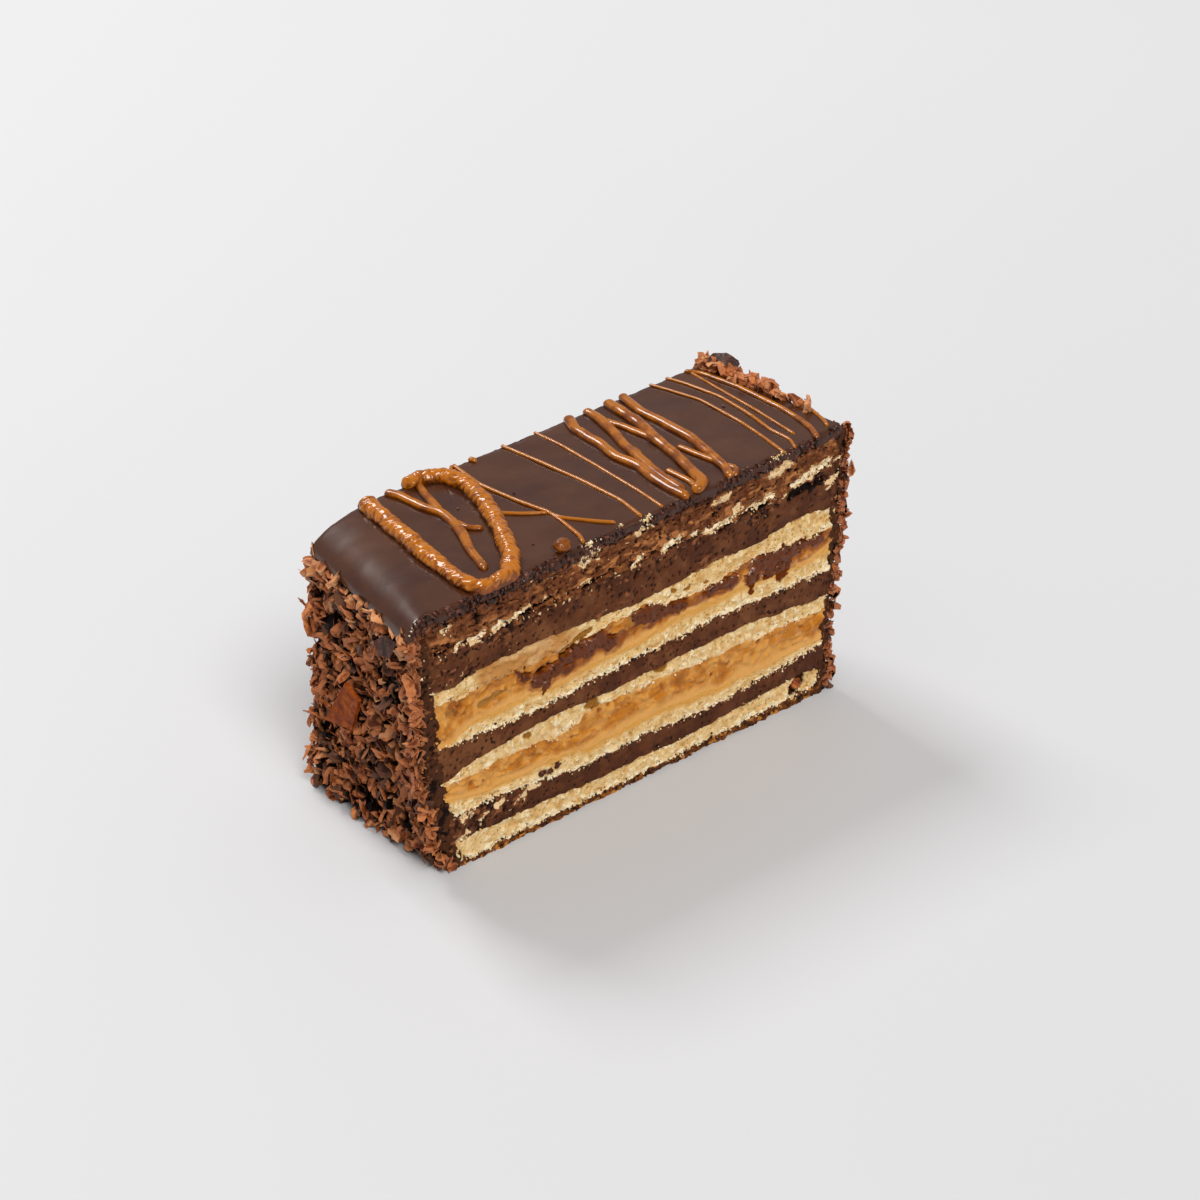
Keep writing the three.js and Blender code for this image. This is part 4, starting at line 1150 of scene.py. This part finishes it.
def make_bed(side, finishes):
    """The chocolate under the shavings of one end, its very dark tones partly painted shade."""
    shares, faces = box_grid(BED_GRID)
    a, across, up = shares.T
    out = 1 - a if side < 0 else a
    y = across * WIDTH
    below_top = 2.6 if side > 0 else 0.8
    sunk = below_top + 0.7 * np.abs(noise(BED_SEED + 14, 2.5, y, a * 3))
    z = up * (crust_top(side, across) - sunk)
    cut = (across == 0) | (across == 1)
    inner = np.where(cut, -BED_OVERLAP, 0.1)
    x = end_surface(side, y, z) + side * lerp(inner, bed_depth(side, y, z), out)
    seed = BED_SEED + 16 + side
    pore = hollows(seed + 4, 1.2, 0.6, x, z)
    rough = fractal(seed, 1.7, 3, x, z)
    inside = ramp(0.35, 0.0, out + 0.15 * noise(seed + 9, 1.5, x, z))
    outward = 0.5 * rough - 0.6 * pore - 0.9 * inside - 0.5 * out ** 4
    outward = np.clip(np.where(cut, outward, 0), -1.2, CUT_LIMIT - 0.1)
    y = y + np.where(across == 0, -outward, outward)
    name = "near" if side < 0 else "far"
    # On the cuts, painted shade in the pores and low places.
    masks = {"stain": cut * (1 - 0.6 * out ** 3),
             "pale_and_highlight": cut * ramp(0.5, 0.9, noise(seed + 12, 0.9, x, z)),
             "hollow_shade": cut * np.clip(pore + ramp(0, -0.7, rough), 0, 1)}
    make_piece(f"shavings_bed_{name}_end", np.stack([x, y, z], 1), faces,
               finishes["shavings_bed"], [f"shavings_{name}_end"], masks, crease=70)


def turned(random, count, lean):
    """Random frames for flat flakes: forward, sideways and outward, the last near +X."""
    spin = random.uniform(0, 2 * math.pi, count)
    tilt = random.normal(0, lean, (count, 2))
    outward = np.stack([np.ones(count), tilt[:, 0], tilt[:, 1]], 1)
    outward /= np.linalg.norm(outward, axis=1, keepdims=True)
    forward = np.stack([np.zeros(count), np.cos(spin), np.sin(spin)], 1)
    forward -= outward * (forward * outward).sum(1, keepdims=True)
    forward /= np.linalg.norm(forward, axis=1, keepdims=True)
    return forward, np.cross(outward, forward), outward


def flake_shapes(random, lengths, widths, thick, curl):
    """Points of torn chocolate flakes, each bent and with a ragged outline of its own."""
    shares, faces = box_grid((4, 2, 1))
    count = len(lengths)
    run, side, up = [np.broadcast_to(v, (count, len(v))) for v in shares.T]
    pick = lambda low, high: random.uniform(low, high, (count, 1))
    taper = 1 - pick(0.2, 1.0) * np.abs(run - pick(0.15, 0.85)) * 1.6
    skew = pick(-0.4, 0.4) * (run - 0.5)
    across = (side - 0.5) * np.clip(taper, 0.12, 1) + skew
    along = (run - 0.5) + pick(-0.35, 0.35) * (side - 0.5)
    bend = curl[:, None] * (4 * run * (1 - run) - 0.6)
    bend = bend + pick(-1.0, 1.0) * (run - 0.5) * (side - 0.5)
    cup = pick(0.0, 0.5) * (1 - 4 * (side - 0.5) ** 2)
    edge_jitter = random.normal(0, 0.07, (2, count, len(shares)))
    points = np.stack([
        (along + edge_jitter[0]) * lengths[:, None],
        (across + edge_jitter[1]) * widths[:, None],
        (up - 0.5) * thick[:, None] * pick(0.7, 1.2) + (bend + cup) * widths[:, None] * 0.6], -1)
    rim = np.maximum(np.abs(side - 0.5) * 2, np.abs(run - 0.5) * 2 > 0.9)
    return points, faces, rim


def flakes_on_end(side, count, sizes, seed, lift, beside_cut=0.0, rows=(0.01, 1.0), thinning=1.0):
    """Flakes pressed onto one end: all their points, faces and masks. beside_cut is the share of
    them within a few millimetres of the cuts, rows the part of the end's height they lie on, and
    thinning above 1 leaves fewer of them towards the shown cut."""
    random = np.random.default_rng(seed)
    across = random.uniform(0.02, 0.98, count) ** (1 / thinning)
    up = random.uniform(*rows, count)
    beside = random.random(count) < beside_cut
    across = np.where(beside, np.round(across) - 0.07 * (across - 0.5), across)
    across = np.clip(across, 0.0, 1.0)
    y = across * WIDTH
    z = up * (crust_top(side, across) - 0.3)
    lengths = random.uniform(*sizes, count)
    widths = lengths * random.uniform(0.35, 0.8, count)
    thick = random.uniform(0.55, 1.1, count) * (0.5 + lengths * 0.16)
    curl = random.uniform(-0.3, 0.9, count)
    shapes, faces, rim = flake_shapes(random, lengths, widths, thick, curl)
    forward, sideways, outward = turned(random, count, 1.5)
    clump = 0.7 * noise(BED_SEED + 20 + side, 5.0, y, z)
    clump = clump + 0.6 * noise(BED_SEED + 22 + side, 2.2, y, z)
    loose = lift + clump + random.uniform(-0.7, 0.9, count)
    height = bed_depth(side, y, z) + np.maximum(loose, -0.3)
    centre = np.stack([end_surface(side, y, z) + side * height, y, z], 1)
    outward, forward = outward * [side, 1, 1], forward * [side, 1, 1]
    places = (centre[:, None] + shapes[..., :1] * forward[:, None]
              + shapes[..., 1:2] * sideways[:, None] + shapes[..., 2:] * outward[:, None])
    places[..., 1] = np.clip(places[..., 1], -SIDE_LIMIT, WIDTH + SIDE_LIMIT)
    places[..., 2] = np.maximum(places[..., 2], BOX_MARGIN)
    at_x, at_y = places[..., 0], places[..., 1]
    if side < 0:
        skin = glaze_surface(np.maximum(at_x, LIP_EDGE[0]), np.clip(at_y / WIDTH, 0, 1), 0)
        places[..., 2] = np.minimum(places[..., 2], skin + 1.6)
    at_z = places[..., 2]
    out = side * (at_x - end_surface(side, at_y, at_z))
    above_bed = out - bed_depth(side, at_y, at_z) - lift - clump[:, None]
    # Painted shade: darker the deeper a flake lies in the crust, less so beside the cuts and at the
    # far end's top.
    deep = ramp(1.6, 0.1, above_bed + 0.4)
    deep = deep * (0.35 + 0.65 * ramp(0.3, 3.5, np.minimum(at_y, WIDTH - at_y)))
    if side > 0:
        deep = deep * ramp(0, 3.5, crust_top(side, across)[:, None] - at_z)
    points, all_faces = scattered(faces, places)
    dull = 0.4 * (side > 0) * ramp(6, 2, y)
    tint = np.repeat(random.uniform(0, 1, count) - dull, shapes.shape[1])
    # Painted highlight along each flake's rim.
    return points, all_faces, {
        "tint": tint, "pale_and_highlight": (0.6 * rim ** 4).ravel(), "hollow_shade": deep.ravel()}


def plate_of_chocolate(corners, thick, outward, seed):
    """A flat shard with these corners (a ring of points), its faces a little uneven."""
    ring = np.array(corners, float)
    outward = np.array(outward, float) / np.linalg.norm(outward)
    steps = 8
    rim = np.concatenate([lerp(a, b, np.linspace(0, 1, steps, endpoint=False)[:, None])
                          for a, b in zip(ring, np.roll(ring, -1, axis=0))])
    rim += 0.12 * np.stack([noise(seed + k, 1.1, rim[:, 1], rim[:, 2] + rim[:, 0])
                            for k in range(3)], 1)
    middle = rim.mean(0)
    rings = [lerp(middle, rim, share) for share in (0.35, 0.7, 1.0)]
    front = np.concatenate([middle[None]] + rings)
    swell = 0.12 * noise(seed + 5, 3.0, front[:, 1], front[:, 2])[:, None]
    count = len(rim)
    points = np.concatenate([front + outward * (thick / 2 + swell),
                             front - outward * (thick / 2 - swell)])
    faces, half = [], len(front)
    for offset, flip in ((0, False), (half, True)):
        rows = [np.arange(count) + 1 + k * count + offset for k in range(3)]
        hub = np.full(count, offset)
        quads = [np.stack([hub, rows[0], np.roll(rows[0], -1), hub], 1)]
        quads += [np.stack([a, b, np.roll(b, -1), np.roll(a, -1)], 1)
                  for a, b in zip(rows, rows[1:])]
        for quad in quads:
            faces.append(quad[:, ::-1] if flip else quad)
    outer = np.arange(count) + 1 + 2 * count
    inner = outer + half
    faces.append(np.stack([outer, inner, np.roll(inner, -1), np.roll(outer, -1)], 1))
    return points, np.concatenate(faces)


# ---- Loose crumbs --------------------------------------------------------------------------
def crumb_shapes(random, sizes):
    """Lumpy grains: a small box grid pulled towards a ball and roughened."""
    ball, faces = ball_grid((2, 2, 1))
    rough = 1 + random.uniform(-0.35, 0.35, (len(sizes), len(ball)))
    stretch = random.uniform(0.6, 1.3, (len(sizes), 1, 3))
    return ball[None] * 0.5 * rough[..., None] * stretch * sizes[:, None, None], faces


def make_crumbs(name, material, spots, sizes, seed):
    """Loose crumbs at these spots; those past the ends of the slice are left out."""
    random = np.random.default_rng(seed)
    x, y, z = spots.T
    first_x = np.minimum(near_end(y, z), lip(y / WIDTH)[0] + 0.6)
    spots = spots[(x > first_x) & (x < far_end(y, z) - 0.3)]
    count = len(spots)
    grains = random.uniform(*sizes, count) * (0.6 + 0.4 * random.random(count))
    shapes, faces = crumb_shapes(random, grains)
    places = spots[:, None] + shapes
    places[..., 1] = np.clip(places[..., 1], -CUT_LIMIT, WIDTH + CUT_LIMIT)
    points, all_faces = scattered(faces, places)
    tint = np.repeat(random.uniform(0, 1, count), shapes.shape[1])
    make_piece(name, inside_box(points), all_faces, material, [], {"tint": tint}, crease=40)


def on_cut(random, shown, x, z, depth):
    """Spots on a cut face, from its surface to a little inside."""
    y = random.uniform(-0.1, depth, len(x))
    return np.stack([x, y if shown else WIDTH - y, z], 1)


def along_line(random, index, count, low, high, shown, spread, shift):
    """Spots on a cut face beside the meeting line under layer index."""
    along = share_along(random.uniform(low, high, count))
    line_x, line_z = meeting_line(index, along, (0.0 if shown else 1.0) + 0 * along)
    spots_z = line_z + shift + spread * random.normal(0, 1, count)
    return on_cut(random, shown, line_x, spots_z, 0.25)[(along > 0.02) & (along < 0.98)]


def in_strokes(random, shown, strokes, density):
    """Spots that fill strokes on a cut face, so many for each square millimetre."""
    spots = []
    for x0, z0, x1, z1, half in strokes:
        count = int(density * (math.hypot(x1 - x0, z1 - z0) + 2 * half) * 2 * half)
        share, turn = random.random(count), random.uniform(0, 2 * math.pi, count)
        away = half * np.sqrt(random.random(count)) * random.uniform(0.7, 1.15, count)
        x = lerp(x0, x1, share) + away * np.cos(turn)
        z = lerp(z0, z1, share) + away * np.sin(turn)
        spots.append(on_cut(random, shown, x, z, 0.1))
    return np.concatenate(spots)


def line_spots(random, lines):
    """Spots beside meeting lines on both cuts."""
    return [along_line(random, index, count, low, high, shown, spread, shift)
            for shown in (True, False) for index, count, low, high, spread, shift in lines]


def sponge_crumb_spots():
    random = np.random.default_rng(71)
    spots = line_spots(random, SPONGE_CRUMB_LINES)
    spots.append(in_strokes(random, True, SHOWN_FRAGMENTS, 1.8))
    spots.append(in_strokes(random, False, HIDDEN_FRAGMENTS, 1.8))
    for middle_x, middle_y, count, size in CRUMB_HEAPS:
        x = middle_x + size * random.normal(0, 0.8, count)
        y = np.abs(middle_y + 0.5 * size * random.normal(0, 0.6, count))
        z = glaze_surface(x, y / WIDTH, 0) + random.uniform(-0.9, 0.3, count)
        spots.append(np.stack([x, y, z], 1))
    return np.concatenate(spots)


def chocolate_crumb_spots():
    random = np.random.default_rng(72)
    return np.concatenate(
        line_spots(random, CHOCOLATE_CRUMB_LINES) + [in_strokes(random, True, SHOWN_BITS, 14)])


def glaze_edge_spots():
    random = np.random.default_rng(73)
    spots = []
    for across, sunk in ((0.0, 0.25), (1.0, 0.9)):
        x = random.uniform(lip(across)[0] + 1.5, 113, 900)
        x = x[noise(75, 4, x, x * 0 + across) > -0.25]
        y = np.abs(random.normal(0, 0.5, len(x)))
        z = glaze_surface(x, across + 0 * x, 0) - sunk - random.uniform(0, 2.4, len(x)) * (y < 0.7)
        spots.append(np.stack([x, y if across == 0 else WIDTH - y, z], 1))
    x, y = random.uniform(5, 110, 7), random.uniform(2, 45, 7)
    spots.append(np.stack([x, y, glaze_surface(x, y / WIDTH, 0) - 0.15], 1))
    x, y = random.uniform(-6, 44, 200), random.uniform(-0.25, 0.35, 200)
    spots.append(np.stack([x, y, glaze_surface(x, 0 * x, 0) - random.uniform(0.6, 3.8, 200)], 1))
    return np.concatenate(spots)


def make_lump(name, centre, radii, material, nodes, seed):
    """One uneven lump of chocolate or caramel."""
    ball, faces = ball_grid((12, 12, 12))
    bumps = 1 + 0.22 * fractal(seed, 0.8, 3, *ball.T)
    points = np.array(centre) + ball * bumps[:, None] * np.array(radii)
    make_piece(name, inside_box(points), faces, material, nodes,
               {"tint": np.full(len(points), 0.4)}, crease=60)


# ---- The slice ------------------------------------------------------------------------------
def make_slice():
    """All pieces, from the foot up and then what lies on them."""
    finishes = make_finishes()
    for index in range(len(LAYERS)):
        make_layer(index, finishes)
    make_glaze(finishes)
    make_strands("caramel_ropes", ROPES, finishes["caramel_rope"],
                 sides=30, step=0.2, fold=0.14, flat=0.85)
    make_strands("caramel_strands", STRANDS, finishes["caramel_strand"],
                 sides=14, step=0.35, fold=0.0, flat=0.75)
    make_strands("caramel_threads", THREADS, finishes["caramel_strand"],
                 sides=10, step=0.5, fold=0.0, flat=0.85, tone=0.45)
    for side in (-1, 1):
        make_bed(side, finishes)
    for name, material, batches in SHAVINGS:
        points, faces, masks = joined(flakes_on_end(*batch) for batch in batches)
        make_piece(name, points, faces, finishes[material],
                   ["shavings_near_end", "shavings_far_end"], masks, crease=32)
    for name, material, node, thick, outward, ring in PLATES:
        points, faces = plate_of_chocolate(ring, thick, outward, PLATE_SEED)
        make_piece(name, inside_box(points), faces, finishes[material], [node],
                   {"tint": np.full(len(points), 0.45)}, crease=35)
    for name, material, slot, node, seed, centre, radii in LUMPS:
        make_lump(name, centre, radii, finishes[material], [node], seed)
    make_crumbs("sponge_crumbs", finishes["pale_crumbs"], sponge_crumb_spots(),
                sizes=(0.25, 0.7), seed=101)
    make_crumbs("chocolate_crumbs", finishes["dark_crumbs"], chocolate_crumb_spots(),
                sizes=(0.35, 0.9), seed=102)
    make_crumbs("glaze_edge_crumbs", finishes["glaze_rubble"], glaze_edge_spots(),
                sizes=(0.5, 1.3), seed=103)


# ---- Floor, light and camera ---------------------------------------------------------------
def make_stage():
    material, n, shader = new_material("pale_floor")
    cloud = n.add("ShaderNodeTexNoise", Vector=n.place(), Scale=3.0, Detail=2.0)
    n.feed(shader.inputs["Base Color"], n.mix(cloud.outputs["Fac"], *FLOOR_TONES))
    n.feed(shader.inputs["Roughness"], FLOOR_ROUGHNESS)
    mesh = bpy.data.meshes.new("floor")
    corners = [(FLOOR_REACH * x, FLOOR_REACH * y, 0)
               for x, y in ((-1, -1), (1, -1), (1, 1), (-1, 1))]
    mesh.from_pydata(corners, [], [(0, 1, 2, 3)])
    mesh.materials.append(material)
    floor = placed("floor", mesh)
    floor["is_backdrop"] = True


def make_light():
    world = bpy.data.worlds.new("studio")
    world.use_nodes = True
    background = world.node_tree.nodes["Background"]
    background.inputs["Color"].default_value = WORLD_COLOUR
    background.inputs["Strength"].default_value = WORLD_STRENGTH
    bpy.context.scene.world = world
    window = bpy.data.lights.new("window", "AREA")
    window.energy, window.size, window.color = WINDOW_POWER, WINDOW_SIZE, WINDOW_COLOUR
    lamp = placed("window", window)
    lamp.location = WINDOW_PLACE
    aim = Vector(WINDOW_AIM) - Vector(WINDOW_PLACE)
    lamp.rotation_euler = aim.to_track_quat("-Z", "Y").to_euler()
    sky = bpy.data.lights.new("soft_sky", "SUN")
    sky.energy, sky.angle, sky.color = SKY_POWER, math.radians(SKY_ANGLE), SKY_COLOUR
    lamp = placed("soft_sky", sky)
    lamp.rotation_euler = Vector(SKY_FROM).to_track_quat("Z", "Y").to_euler()


def make_camera():
    data = bpy.data.cameras.new("photo_view")
    data.lens, data.sensor_width = LENS, SENSOR
    camera = placed("photo_view", data)
    camera.location = in_frame(CAMERA_PLACE)
    camera.rotation_euler = [math.radians(turn) for turn in CAMERA_TURN]
    bpy.context.scene.camera = camera
    bpy.context.scene.view_settings.view_transform = "Standard"


make_slice()
make_stage()
make_light()
make_camera()

as_numbers = lambda box: [[float(v) for v in corner] for corner in box]
{"cad": as_numbers(CAD_BOX), "visual": as_numbers(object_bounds())}
